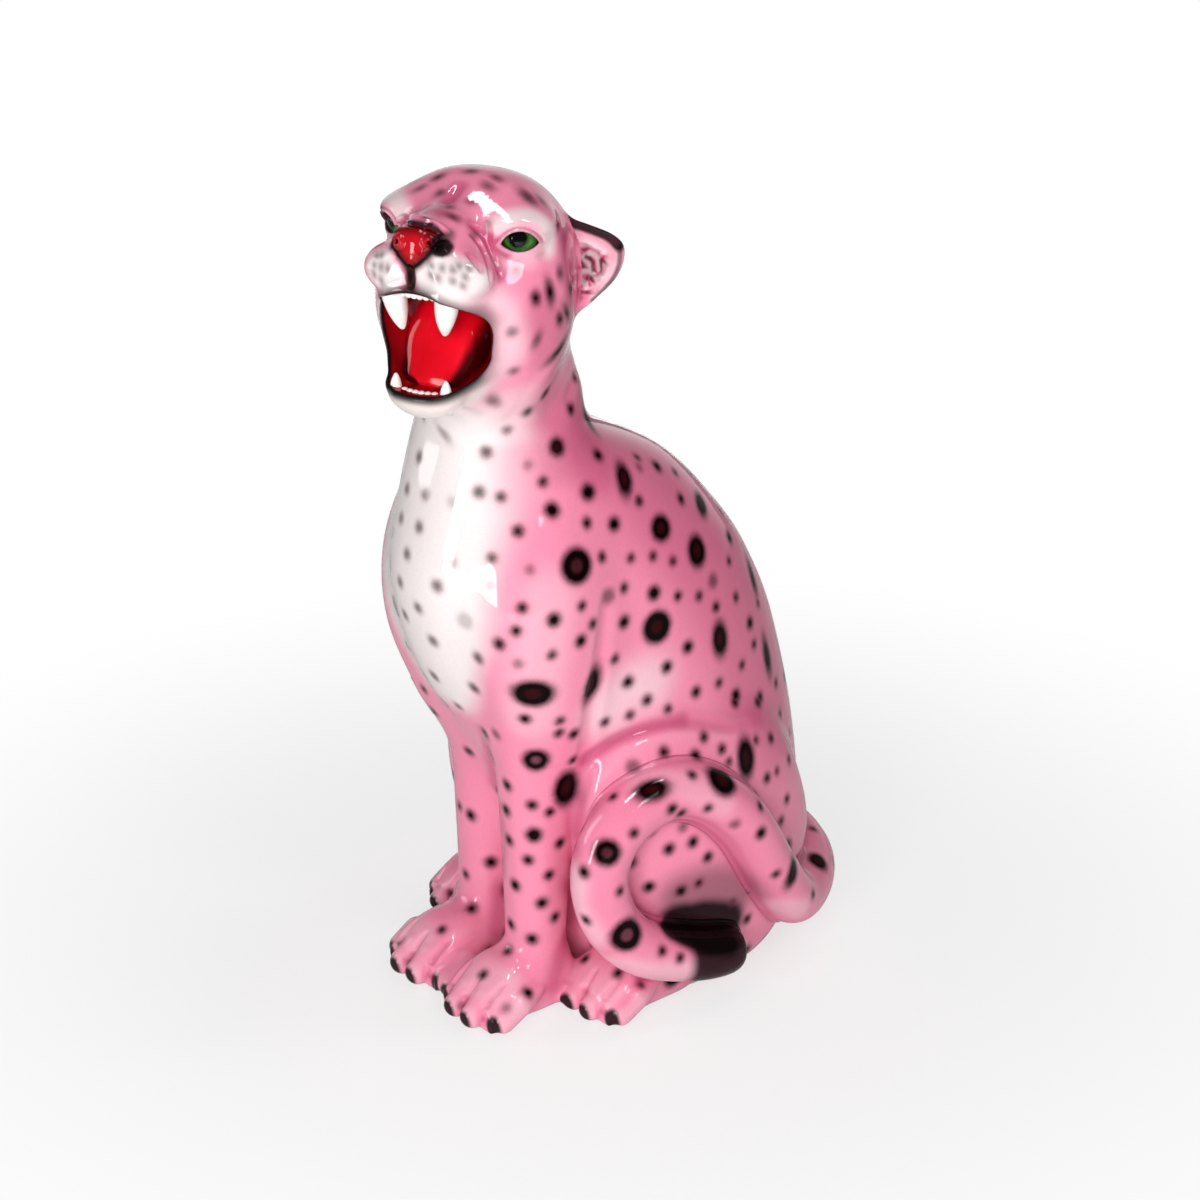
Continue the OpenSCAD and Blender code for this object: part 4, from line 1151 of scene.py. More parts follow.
class Paint:
    """Spots, bib, airbrush strokes, painted shade and painted highlights in their places on the clay."""

    def __init__(self, figure):
        self.figure = figure
        self.fields = [(figure.blocks[name], figure.fields[name]) for name in ("body", "head")]
        self.random = np.random.default_rng(SEED)
        self.spots = []
        for table in (HEAD_SPOTS, TORSO_SPOTS, LEG_SPOTS, HAUNCH_SPOTS, TAIL_SPOTS):
            self.pin_spots(table)
        self.pin_spots([(*place, *WHISKER_DOT) for place in WHISKER_DOTS])
        self.mirror_spots()
        self.scatter_spots()
        edge = march(self.fields, BIB_EDGE)[0]
        order = np.argsort(edge[:, 2])
        self.bib_heights = edge[order, 2]
        self.bib_widths = np.abs(edge[order, 0])
        # lines of the carved fur, for painted highlights on the ridges and painted shade in the grooves
        self.fur = []
        for pixels, *_, ridge in EAR_STROKES:
            line, met = march(self.fields, smooth_curve(pixels, 10))
            for hair in (line[met], mirror_image(line[met], True)):
                self.fur.append((hair, ridge))
        self.strokes = {}
        for name, table in (("head", HEAD_AIRBRUSH), ("ear", EAR_AIRBRUSH), ("body", BODY_AIRBRUSH)):
            self.strokes[name] = [self.pin_stroke(entry, name != "body") for entry in table]

    def pin_stroke(self, entry, in_head):
        """An airbrush stroke with its line, and the mirrored line if it has one, on the clay."""
        colour, strength, wide, fade, both, pixels = entry
        line, met = march(self.fields, smooth_curve(pixels, 10))
        line = line[met]
        lines = [line]
        if both:
            lines.append(mirror_image(line, in_head))
        return linear(colour), strength, wide, fade, lines

    def pin_spots(self, table):
        """Spots of a table, each as two ends, a radius and a strength."""
        for across, down, radius, *more in table:
            is_long = len(more) > 1
            half = max(more[0] - radius, 0) * PHOTO_PIXELS_PER_MM if is_long else 0.0
            slant = math.radians(more[1]) if is_long else 0.0
            strength = more[-1] if len(more) in (1, 3) else 1.0
            shift = np.array((math.cos(slant), math.sin(slant))) * half
            middle = np.array((across, down), float)
            ends, met = march(self.fields, np.stack([middle - shift, middle + shift, middle]))
            if not met[2]:
                continue
            start = ends[0] if met[0] else ends[2]
            stop = ends[1] if met[1] else ends[2]
            if np.linalg.norm(stop - start) > 4 * half / PHOTO_PIXELS_PER_MM + 1:
                start = ends[2]
                stop = ends[2]
            self.spots.append((start, stop, radius, strength))

    def seen(self, points, normals):
        """Which points the photo shows."""
        toward = unit(PHOTO_EYE - points)
        facing = np.einsum("ij,ij->i", toward, normals) > LEAST_FACING
        for length in SIGHT_LENGTHS:
            spots = points + toward * length
            for block, field in self.fields:
                inside = block.holds(spots)
                blocked = np.zeros(len(points), bool)
                blocked[inside] = block.at(field, spots[inside]) < -1
                facing &= ~blocked
        return facing

    def mirror_spots(self):
        """The spots' mirror images where the photo doesn't show the surface."""
        for block, field in self.fields:
            in_head = block is self.figure.blocks["head"]
            spots = [spot for spot in self.spots if (spot[0][2] > HEAD_FROM_Z) == in_head]
            ends = np.array([(spot[0], spot[1]) for spot in spots]).reshape(-1, 3)
            flipped = block.settle(field, mirror_image(ends, in_head), 4)
            off = np.abs(block.at(field, flipped)) > 1
            normals = unit(block.slope(field, flipped))
            refused = (off | self.seen(flipped, normals)).reshape(-1, 2).any(1)
            for spot, pair, no in zip(spots, flipped.reshape(-1, 2, 3), refused):
                places = np.array([(known[0] + known[1]) / 2 for known in self.spots])
                crowded = np.linalg.norm(places - pair.mean(0), axis=1).min() < MIRROR_GAP
                if not (no or crowded):
                    self.spots.append((pair[0], pair[1], spot[2], spot[3]))

    def scatter_spots(self):
        """Spots on what neither the photo nor a mirror image reaches."""
        for block, field in self.fields:
            points = block.mesh(field)[0]
            points = points[self.random.permutation(len(points))[:SCATTER_TRIES]]
            normals = unit(block.slope(field, points))
            is_head = block is self.figure.blocks["head"]
            fit = ~self.seen(points, normals) & (normals[:, 2] > -0.6) & (points[:, 2] > 12)
            if is_head:
                fit &= (points[:, 2] > HEAD_FROM_Z) & (block.at(self.figure.mouth, points) > 8)
                fit &= to_head(points)[:, 1] < 8
            else:
                fit &= points[:, 2] < HEAD_FROM_Z
            places = np.array([(spot[0] + spot[1]) / 2 for spot in self.spots])
            sizes = np.array([spot[2] for spot in self.spots])
            for point in points[fit]:
                radius = float(self.random.choice(SCATTER_RADII))
                gaps = np.linalg.norm(places - point, axis=1) - sizes - radius
                if gaps.min() < SCATTER_GAP:
                    continue
                self.spots.append((point, point, radius, 1.0))
                places = np.vstack([places, point])
                sizes = np.append(sizes, radius)

    def spot_fields(self, points):
        """Distance to the nearest spot's edge, to its reddish core and its strength."""
        edge = np.full(len(points), SPOT_REACH)
        core = np.full(len(points), SPOT_REACH)
        strength = np.zeros(len(points))
        by_height = np.argsort(points[:, 2])
        heights = points[by_height, 2]
        for start, stop, radius, power in self.spots:
            reach = radius + SPOT_REACH
            low = np.minimum(start, stop) - reach
            high = np.maximum(start, stop) + reach
            first, last = np.searchsorted(heights, (low[2], high[2]))
            level = by_height[first:last]
            index = level[np.all((points[level, :2] > low[:2]) & (points[level, :2] < high[:2]), axis=1)]
            middle = (start + stop) / 2
            half = (stop - start) / 2
            length = np.linalg.norm(half)
            offset = points[index] - middle
            along = offset @ half / max(length, 1e-6)
            beside = np.sqrt(np.maximum(np.einsum("ij,ij->i", offset, offset) - along ** 2, 0))
            gap = (np.hypot(along / (length + radius), beside / radius) - 1) * radius
            closer = gap < edge[index]
            chosen = index[closer]
            edge[chosen] = gap[closer]
            strength[chosen] = power
            core[chosen] = gap[closer] + radius * 0.58 if radius > CORE_FROM else SPOT_REACH
        return edge, core, strength

    def brush(self, coat, points, name):
        """Lays a set of airbrush strokes over the coat."""
        for colour, strength, wide, fade, lines in self.strokes[name]:
            for line in lines:
                gap = line_distance(points, line)
                weight = strength * (1 - ease(wide, wide + fade, gap))
                coat += (colour - coat) * weight[:, None]

    def bib(self, points):
        """Share of the white bib at each point."""
        x, y, z = points.T
        widths = np.interp(z, self.bib_heights, self.bib_widths)
        neck_limit = np.interp(z, BIB_NECK_HEIGHTS, BIB_NECK_LIMITS)
        front = ease(neck_limit, neck_limit - 22, y)
        above_tip = ease(self.bib_heights[0] - 8, self.bib_heights[0] + 10, z)
        below_jaw = ease(388, 366, z)
        across = 1 - ease(widths - BIB_SOFT, widths + BIB_SOFT, np.abs(x))
        return across * front * above_tip * below_jaw

    def coat(self, points, name, block_name):
        """Colour of the glaze at each point of a casting, with painted shade in the creases and painted
        highlights on the body's bulges.
        """
        coat = np.tile(linear(PINK), (len(points), 1))
        hollow = self.figure.hollowness(points, block_name, 7.0)
        # painted highlight: paler pink on the bulges of the body
        if block_name != "head":
            lay(coat, PALE_PINK, 0.45 * ease(0.02, -0.16, hollow))
        self.brush(coat, points, "body")
        bib = self.bib(points)
        if name in ("torso", "head") or name.endswith("foreleg"):
            lay(coat, BIB_WHITE, 0.97 * bib)
        # painted shade: deeper pink in the creases, where the airbrush also laid the pink deeper; it stays
        # off black paint
        not_black = ease(0.02, 0.16, coat.mean(1))
        lay(coat, DEEP_PINK, 0.9 * ease(0.05, 0.32, hollow) * (1 - 0.6 * bib) * not_black)
        if name == "head":
            self.face(coat, points)
        if name.endswith("ear"):
            self.ear(coat, points)
        if "paw" in name or "foreleg" in name:
            self.claws(coat, points, name)
        if name == "tail":
            start, full, stop, top = TAIL_TIP
            tip = ease(start, full, points[:, 1]) * (points[:, 1] < stop) * ease(top + 8, top, points[:, 2])
            lay(coat, BLACK_PAINT_AND_SHADE, 0.97 * tip)
        return coat

    def claws(self, coat, points, name):
        """Black claws at the ends of the toes."""
        side = LEFT if name.startswith("left") else RIGHT
        paw = HINDPAWS[side] if "paw" in name else FOREPAWS[side]
        for step in TOE_STEPS:
            line, radius = toe_line(paw, step)
            claw = line[0] + np.array((0, -radius * 0.8, -radius * 0.2))
            gap = np.linalg.norm((points - claw) * (1, 1, 0.8), axis=1)
            lay(coat, BLACK_PAINT_AND_SHADE, 0.97 * (1 - ease(CLAW_REACH - 1.4, CLAW_REACH + 1.0, gap)))

    def ear(self, coat, points):
        """Ear with painted shade in the grooves of its fur, painted highlights on its ridges and a black top
        edge.
        """
        fine = self.figure.hollowness(points, "head", 1.8)
        # painted highlight on the bulges and painted shade in the hollows of the fur
        lay(coat, BROW_WHITE, 0.75 * ease(-0.04, -0.26, fine))
        lay(coat, DEEP_PINK, 0.9 * ease(0.0, 0.14, fine))
        lay(coat, FOLD_SHADE_PINK, 0.9 * ease(0.1, 0.28, fine))
        # painted highlights along the carved ridges and painted shade along the grooves
        for line, ridge in self.fur:
            gap = line_distance(points, line)
            if ridge:
                lay(coat, BROW_WHITE, 0.85 * (1 - ease(0.6, 1.9, gap)))
            else:
                lay(coat, FOLD_SHADE_PINK, 0.9 * (1 - ease(0.4, 1.6, gap)))
        self.brush(coat, points, "ear")

    def face(self, coat, points):
        """Face colours, nose, lips, mouth and lids, with painted shade in the folds, the nose's hollows, the
        mouth and the lid folds.
        """
        figure = self.figure
        block = figure.blocks["head"]
        left, forward, up = to_head(points).T
        across = np.abs(left)
        fine = figure.hollowness(points, "head", 1.8)
        # painted shade in the fine folds of the face
        lay(coat, DEEP_PINK, 0.85 * ease(0.04, 0.22, fine))
        lay(coat, FOLD_SHADE_PINK, 0.6 * ease(0.2, 0.4, fine))
        self.brush(coat, points, "head")
        mouth = block.at(figure.mouth, points)
        around = ease(-18, -8, forward)
        low = ease(-58, -70, up)
        pads = ease(-40, -28, up)
        middle = 1 - ease(4, 26, across)
        reach = 4.6 + 3.0 * low + 4.0 * pads + 3 * pads * middle
        lay(coat, BROWN_PAINT_AND_SHADE, 0.85 * around * (1 - ease(0.0, reach, mouth)) ** 1.3)
        lip = 1.7 + 4.2 * low + 3.0 * pads * middle
        lay(coat, BLACK_PAINT_AND_SHADE, 0.96 * around * (1 - ease(0.3, lip, mouth)))
        pad_edge = outline_distance(across, up, nose_pad_corners())
        near_nose = ease(NOSE_FROM - 10, NOSE_FROM - 3, forward)
        on_nose = ease(NOSE_FROM, NOSE_FROM + 2.5, forward)
        lay(coat, BROWN_PAINT_AND_SHADE, 0.85 * near_nose * ease(15, 11, up) * (1 - ease(0.6, 4.5, pad_edge)))
        lay(coat, BLACK_PAINT_AND_SHADE, 0.97 * on_nose * (1 - ease(0.4, 1.8, pad_edge)))
        red = on_nose * (1 - ease(-1.8, -0.7, pad_edge))
        lay(coat, NOSE_RED, red)
        # painted shade: the red darkens towards the pad's edge, and the pad's hollows are painted black
        lay(coat, SHADE_RED, 0.8 * red * ease(-6.5, -1.0, pad_edge))
        lay(coat, BLACK_PAINT_AND_SHADE, 0.92 * red * ease(0.05, 0.24, fine))
        nostril = np.stack([across, forward, up], -1) - np.array(NOSTRIL[0])
        nostril = np.linalg.norm(nostril / (5.0, 8.0, 4.6), axis=1)
        lay(coat, BLACK_PAINT_AND_SHADE, 0.98 * (1 - ease(0.85, 1.3, nostril)))
        inside = (1 - ease(-0.4, 0.5, mouth)) * ease(-0.3, -1.6, block.at(figure.plain_head, points))
        lay(coat, MOUTH_RED, inside)
        # painted shade: the red darkens deeper in the mouth and beside the tongue, with a black line in the
        # gap
        lay(coat, SHADE_RED, 0.6 * inside * ease(15, 7.5, forward))
        beside = across - tongue_half(forward)
        lay(coat, SHADE_RED, 0.4 * inside * (1 - ease(1.0, 5.0, beside)))
        lay(coat, BLACK_PAINT_AND_SHADE, 0.9 * inside * (1 - ease(0.3, 2.4, np.abs(beside - 0.6))))
        for side in SIDES:
            slit, ahead, above = eye_slit(*points.T, side)
            on_lid = ease(1.0, 3.0, ahead) * ease(17, 15, ahead)
            upper = on_lid * ease(-1.0, 2.0, above)
            lay(coat, LID_PINK, 0.75 * on_lid * (1 - ease(1.4, 3.4, slit)))
            # painted shade in the lid's fold under the brow
            lay(coat, FOLD_SHADE_PINK, 0.5 * upper * np.exp(-((slit - LID_FOLD) / 0.6) ** 2))
            lay(coat, BLACK_PAINT_AND_SHADE, 0.95 * on_lid * (1 - ease(0.0, 0.8, slit)))


# Materials


def add_node(tree, kind, sockets=(), **settings):
    """A node with its settings and sockets, which come in a list in the node's order or by name or number.

    A kind without the word Node is a shader node. A socket takes a value, another node's output,
    or a node, which stands for its first output.
    """
    node = tree.nodes.new(kind if "Node" in kind else "ShaderNode" + kind)
    for key, value in settings.items():
        setattr(node, key, value)
    pairs = sockets.items() if isinstance(sockets, dict) else enumerate(sockets)
    for key, value in pairs:
        source = value.outputs[0] if isinstance(value, bpy.types.Node) else value
        if isinstance(source, bpy.types.NodeSocket):
            tree.links.new(source, node.inputs[key])
        else:
            node.inputs[key].default_value = source
    return node


def rgba(code):
    """An sRGB hex colour as a linear socket value."""
    return (*linear(code), 1.0)


def new_material(name):
    """An empty node material, and the function that adds nodes to it."""
    material = bpy.data.materials.new(name)
    material.use_nodes = True
    material.node_tree.nodes.clear()
    return material, functools.partial(add_node, material.node_tree)


def per_metre(size_mm):
    """Scale of a pattern whose features are this many millimetres apart."""
    return 1.0 / (size_mm * MM)


# Settings of nodes that come up often: a range with soft ends, and a mix of colours
SOFT_STEP = {"interpolation_type": "SMOOTHSTEP"}
COLOURS = {"data_type": "RGBA"}

GLAZE_WAVE_MM = 16.0
GLAZE_WAVE_DEPTH_MM = 0.10
BRUSH_EDGE_MM = 3.2
SPRAY_GRAIN_MM = 1.1
RED_POOL_MM = 18.0
RED_WAVE_MM = 9.0
TOOTH_CLOUD_MM = 6.0
IRIS_STREAK_MM = 1.6
FELT_FIBRE_MM = 0.9


def glazed_earthenware():
    """Slip-cast earthenware under a clear glaze: airbrushed colour, wavy mirror-like gloss."""
    material, add = new_material("glazed_earthenware")
    place = add("TexCoord").outputs["Object"]
    coat = add("Attribute", attribute_name="coat")
    edge = add("Attribute", attribute_name="spot_edge").outputs["Fac"]
    core = add("Attribute", attribute_name="spot_core").outputs["Fac"]
    power = add("Attribute", attribute_name="spot_power").outputs["Fac"]
    # Hand-held brush: the edge of a spot wanders by a few tenths of a millimetre
    ragged = add("TexNoise", {"Vector": place, "Scale": per_metre(BRUSH_EDGE_MM), "Detail": 2.0})
    wander = add("MapRange", [ragged, 0.25, 0.75, -0.25, 0.25])
    uneven = add("Math", [edge, wander], operation="ADD")
    dark = add("MapRange", [uneven, -2.2, 2.5, 1.0, 0.0], **SOFT_STEP)
    halo = add("MapRange", [uneven, -0.5, 4.6, 0.5, 0.0], **SOFT_STEP)
    # A power above one tells how far the middle of a ring-shaped spot lets the pink through
    full = add("Math", [power, 1.0], operation="MINIMUM")
    open_share = add("Math", [power, full], operation="SUBTRACT")
    middle = add("MapRange", [core, -1.8, 1.2, 1.0, 0.0], **SOFT_STEP)
    opened = add("Math", [open_share, middle], operation="MULTIPLY")
    held = add("Math", [full, opened], operation="SUBTRACT")
    dark_share = add("Math", [dark, held], operation="MULTIPLY")
    halo_share = add("Math", [halo, full], operation="MULTIPLY")
    # Airbrush spatter: a faint grain in the colour
    grain = add("TexNoise", {"Vector": place, "Scale": per_metre(SPRAY_GRAIN_MM), "Detail": 3.0})
    lift = add("MapRange", [grain, 0.2, 0.8, 0.955, 1.035])
    grained = add("VectorMath", {0: coat, "Scale": lift}, operation="SCALE")
    haloed = add("Mix", {0: halo_share, 6: grained, 7: rgba("#7A3347")}, **COLOURS)
    red_core = add("MapRange", [core, -1.6, 1.4, 0.5, 0.0], **SOFT_STEP)
    ink = add("Mix", {0: red_core, 6: rgba("#0B0304"), 7: rgba("#430B12")}, **COLOURS)
    spotted = add("Mix", {
        0: dark_share, 6: haloed.outputs[2], 7: ink.outputs[2]}, **COLOURS).outputs[2]
    # Glaze that ran in the kiln: long low waves bend the reflections
    wave = add("TexNoise", {"Vector": place, "Scale": per_metre(GLAZE_WAVE_MM), "Detail": 1.0})
    bump = add("Bump", {"Strength": 0.5, "Distance": GLAZE_WAVE_DEPTH_MM * MM, "Height": wave})
    shine = add("MapRange", [grain, 0.2, 0.8, 0.045, 0.075])
    # Black underglaze colour drinks in the glaze, so it mirrors less than the pink
    lightness = add("RGBToBW", [spotted])
    mirror = add("MapRange", [lightness, 0.01, 0.15, 0.07, 0.5])
    shader = add("BsdfPrincipled", {
        "Base Color": spotted, "Roughness": shine, "IOR": 1.5, "Specular IOR Level": mirror, "Normal": bump})
    add("OutputMaterial", [shader])
    return material


def red_mouth_glaze():
    """Glossy red glaze of the tongue, deeper where it pooled, with painted shade darkening its edges."""
    material, add = new_material("red_mouth_glaze")
    place = add("TexCoord").outputs["Object"]
    pooled = add("TexNoise", {"Vector": place, "Scale": per_metre(RED_POOL_MM), "Detail": 2.0})
    share = add("MapRange", [pooled, 0.3, 0.7])
    red = add("Mix", {0: share, 6: rgba("#CE0416"), 7: rgba("#E60A22")}, **COLOURS)
    # painted shade: the red turns near black towards the tongue's edges
    flank = add("Attribute", attribute_name="flank").outputs["Fac"]
    rim = add("MapRange", [flank, 0.8, 1.0, 0.0, 0.96], **SOFT_STEP)
    shaded = add("Mix", {0: rim, 6: red.outputs[2], 7: rgba("#220103")}, **COLOURS)
    wave = add("TexNoise", {"Vector": place, "Scale": per_metre(RED_WAVE_MM), "Detail": 1.0})
    bump = add("Bump", {"Strength": 0.5, "Distance": 0.12 * MM, "Height": wave})
    shader = add("BsdfPrincipled", {
        "Base Color": shaded.outputs[2], "Roughness": 0.07, "Specular IOR Level": 0.28, "Normal": bump})
    add("OutputMaterial", [shader])
    return material


def white_tooth_glaze():
    """Thick white glaze on the teeth, faintly clouded."""
    material, add = new_material("white_tooth_glaze")
    place = add("TexCoord").outputs["Object"]
    cloud = add("TexNoise", {"Vector": place, "Scale": per_metre(TOOTH_CLOUD_MM), "Detail": 3.0})
    share = add("MapRange", [cloud, 0.3, 0.7])
    white = add("Mix", {0: share, 6: rgba("#EFEAE4"), 7: rgba("#FAF8F5")}, **COLOURS)
    bump = add("Bump", {"Strength": 0.4, "Distance": 0.1 * MM, "Height": cloud})
    shader = add("BsdfPrincipled", {
        "Base Color": white.outputs[2], "Roughness": 0.1, "Coat Weight": 0.3, "Normal": bump})
    add("OutputMaterial", [shader])
    return material


# Colours of an eye by the angle from its gaze, as shares of a right angle
EYE_STOPS = (
    (0.0, "#030404"), (0.265, "#040605"), (0.3, "#284E20"), (0.42, "#4C8039"), (0.6, "#3C6C30"),
    (0.74, "#14220E"), (1.0, "#060806"),
)


def green_eye_glass():
    """Glazed eye: round black pupil, green iris streaked from the middle, dark rim."""
    material, add = new_material("green_eye_glass")
    place = add("TexCoord").outputs["Object"]
    gaze = add("Attribute", attribute_name="gaze_angle").outputs["Fac"]
    streaks = add("TexNoise", {"Vector": place, "Scale": per_metre(IRIS_STREAK_MM), "Detail": 3.0})
    spread = add("MapRange", [streaks, 0.25, 0.75, -2.0, 2.0])
    angle = add("Math", [gaze, spread], operation="ADD")
    share = add("Math", [angle, 90.0], operation="DIVIDE")
    ramp = add("ValToRGB", [share])
    elements = ramp.color_ramp.elements
    while len(elements) < len(EYE_STOPS):
        elements.new(0.5)
    for element, (position, code) in zip(elements, EYE_STOPS):
        element.position = position
        element.color = rgba(code)
    shader = add("BsdfPrincipled", {
        "Base Color": ramp, "Roughness": 0.04, "IOR": 1.52, "Specular IOR Level": 0.3})
    add("OutputMaterial", [shader])
    return material


def pressed_felt():
    """Pressed black felt: matt, with short tangled fibres."""
    material, add = new_material("pressed_felt")
    place = add("TexCoord").outputs["Object"]
    fibre = add("TexNoise", {
        "Vector": place, "Scale": per_metre(FELT_FIBRE_MM), "Detail": 6.0, "Roughness": 0.7})
    share = add("MapRange", [fibre, 0.3, 0.7])
    shade = add("Mix", {0: share, 6: rgba("#171413"), 7: rgba("#38322F")}, **COLOURS)
    bump = add("Bump", {"Strength": 0.8, "Distance": 0.25 * MM, "Height": fibre})
    shader = add("BsdfPrincipled", {
        "Base Color": shade.outputs[2], "Roughness": 0.95, "Sheen Weight": 0.3, "Normal": bump})
    add("OutputMaterial", [shader])
    return material


FINISHES = {
    "glaze": glazed_earthenware, "mouth_glaze": red_mouth_glaze, "tooth_glaze": white_tooth_glaze,
    "eye_glass": green_eye_glass, "felt": pressed_felt,
}


@functools.cache
def finish(slot):
    """The material of a slot, made once."""
    return FINISHES[slot]()


# Pieces


def set_shape(mesh, points, faces):
    """Fills an empty mesh with points in mm and faces that all have as many corners."""
    corners = faces.shape[1]
    mesh.vertices.add(len(points))
    mesh.vertices.foreach_set("co", (np.asarray(points) * MM).astype(np.float32).ravel())
    mesh.loops.add(faces.size)
    mesh.loops.foreach_set("vertex_index", faces.astype(np.int32).ravel())
    mesh.polygons.add(len(faces))
    mesh.polygons.foreach_set("loop_start", (np.arange(len(faces)) * corners).astype(np.int32))
    mesh.update(calc_edges=True)
    mesh.validate()
    mesh.polygons.foreach_set("use_smooth", np.ones(len(mesh.polygons), bool))


def add_values(mesh, name, values, kind="FLOAT"):
    """Stores one value or colour per point."""
    layer = mesh.attributes.new(name, kind, "POINT")
    if kind == "FLOAT_COLOR":
        packed = np.concatenate([values, np.ones((len(values), 1))], 1)
        layer.data.foreach_set("color", packed.astype(np.float32).ravel())
    else:
        layer.data.foreach_set("value", np.asarray(values, np.float32))


def place_piece(mesh, name, node, slot):
    """Puts a finished mesh in the scene in the place of its CAD node."""
    piece = bpy.data.objects.new(name, mesh)
    bpy.context.scene.collection.objects.link(piece)
    mesh.materials.clear()
    mesh.materials.append(finish(slot))
    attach(piece, "root")
    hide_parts(node)
    return piece


@functools.cache
def figure():
    """The sculpted animal, built on first use."""
    return Figure()


@functools.cache
def paint():
    """The paint on the animal, laid out on first use."""
    return Paint(figure())


def cast(name, block_name):
    """Sculpts, paints and places one casting."""
    points, quads, normals, covered = figure().casting(name, block_name)
    mesh = bpy.data.meshes.new(name)
    set_shape(mesh, points, quads)
    mesh.normals_split_custom_set_from_vertices(normals.astype(np.float32))
    edge, core, power = paint().spot_fields(points)
    power *= 1 - BIB_FADE * paint().bib(points)
    add_values(mesh, "coat", paint().coat(points, name, block_name), "FLOAT_COLOR")
    add_values(mesh, "spot_edge", edge)
    add_values(mesh, "spot_core", core)
    add_values(mesh, "spot_power", power)
    return place_piece(mesh, name + "_casting", name, "glaze")


def cast_pair(kind, block_name):
    """Casts a piece for each side."""
    for side in SIDES:
        cast(SIDE_NAMES[side] + "_" + kind, block_name)


def lathe(profile, sides):
    """Closed mesh of a profile of radius and height turned about the vertical."""
    profile = np.asarray(profile, float)
    turn = np.linspace(0, 2 * math.pi, sides, endpoint=False)
    radius = profile[:, 0:1]
    height = np.repeat(profile[:, 1:2], sides, 1)
    return skin(np.stack([radius * np.cos(turn), radius * np.sin(turn), height], -1))


def mesh_of(name, form):
    """Blender mesh of a closed form with its caps, which faces outwards."""
    points, triangles, quads = form
    mesh = bpy.data.meshes.new(name)
    mesh.from_pydata((np.asarray(points) * MM).tolist(), [], quads.tolist() + triangles.tolist())
    mesh.validate()
    mesh.polygons.foreach_set("use_smooth", np.ones(len(mesh.polygons), bool))
    work = bmesh.new()
    work.from_mesh(mesh)
    bmesh.ops.recalc_face_normals(work, faces=work.faces)
    work.to_mesh(mesh)
    work.free()
    return mesh


# Fang outline: share of the root's width, share of the length from the gum
FANG_OUTLINE = ((0.02, -0.27), (0.34, -0.26), (0.36, -0.06), (0.52, 0.0), (0.5, 0.18), (0.455, 0.38),
                (0.38, 0.58), (0.28, 0.76), (0.175, 0.9), (0.09, 0.975), (0.015, 1.0))
LOWER_FANG_L = 8.0
LOWER_FANG_D = 6.0
# Middle of a fang's root: left, forward and up of the eyes; the upper fangs lean inwards
UPPER_FANG_ROOT = (15.5, 39.5, -20.5)
LOWER_FANG_ROOT = (14.5, 41.5, -70.5)
UPPER_FANG_LEAN = 0.16
FANG_BEND = 0.006


def fang_form(root, length, width, lean, down):
    """A curved fang that grows from its root, down or up."""
    outline_points = smooth_curve([(share * width, depth * length) for share, depth in FANG_OUTLINE], 60)
    points, triangles, quads = lathe(outline_points, 48)
    depth = points[:, 2]
    grown = np.maximum(depth, 0)
    left = points[:, 0] + root[0] + lean * grown
    forward = points[:, 1] + root[1] - FANG_BEND * grown ** 2
    up = root[2] - depth if down else root[2] + depth
    return placed((np.stack([left, forward, up], -1), triangles, quads))


def eye_form(side, diameter):
    """Eyeball with a slight bulge over its iris, and each point's angle from the gaze."""
    middle, along, up, out = eye_frame(side)
    angles = np.linspace(0.001, math.pi - 0.001, 90)
    bulge = 0.45 * (1 - ease(math.radians(20), math.radians(48), angles))
    radius = diameter / 2 - 0.1 + bulge
    profile = np.stack([radius * np.sin(angles), radius * np.cos(angles)], -1)
    points, triangles, quads = lathe(profile, 96)
    ahead = points[:, 2] * math.cos(PUPIL_TURN) + points[:, 0] * math.sin(PUPIL_TURN)
    gaze = np.degrees(np.arccos(np.clip(ahead / np.linalg.norm(points, axis=1), -1, 1)))
    turned_points = points[:, 0:1] * along + points[:, 1:2] * up + points[:, 2:3] * out
    return (middle + turned_points, triangles, quads), gaze


# Rows of small teeth: middle as left, forward and up of the eyes, then width and height of the row
TOOTH_ROWS = {
    "upper_incisors": ((0, 43, -19.3), 20.0, 2.2),
    "lower_incisors": ((0, 44, -70.6), 21.0, 1.8),
}
# Felt pads under the torso and the paws: x and y
FELT_PLACES = ((0, 0), (32, -106), (-32, -102), (68, -49), (-68, -49))

# Repeated pieces


def tree_with_inputs(name, inputs):
    """A geometry tree with named number inputs, the function that adds nodes to it, and its input node."""
    tree = bpy.data.node_groups.new(name, "GeometryNodeTree")
    tree.interface.new_socket("Geometry", in_out="INPUT", socket_type="NodeSocketGeometry")
    for label, kind, value in inputs:
        socket = tree.interface.new_socket(label, in_out="INPUT", socket_type=kind)
        socket.default_value = value
    tree.interface.new_socket("Geometry", in_out="OUTPUT", socket_type="NodeSocketGeometry")
    add = functools.partial(add_node, tree)
    return tree, add, add("NodeGroupInput")


def end_tree(add, instances, slot):
    """Ends a geometry tree: instances made plain, with the material of a slot."""
    plain = add("GeometryNodeRealizeInstances", [instances])
    coated = add("GeometryNodeSetMaterial", {"Geometry": plain, "Material": finish(slot)})
    add("NodeGroupOutput", [coated])


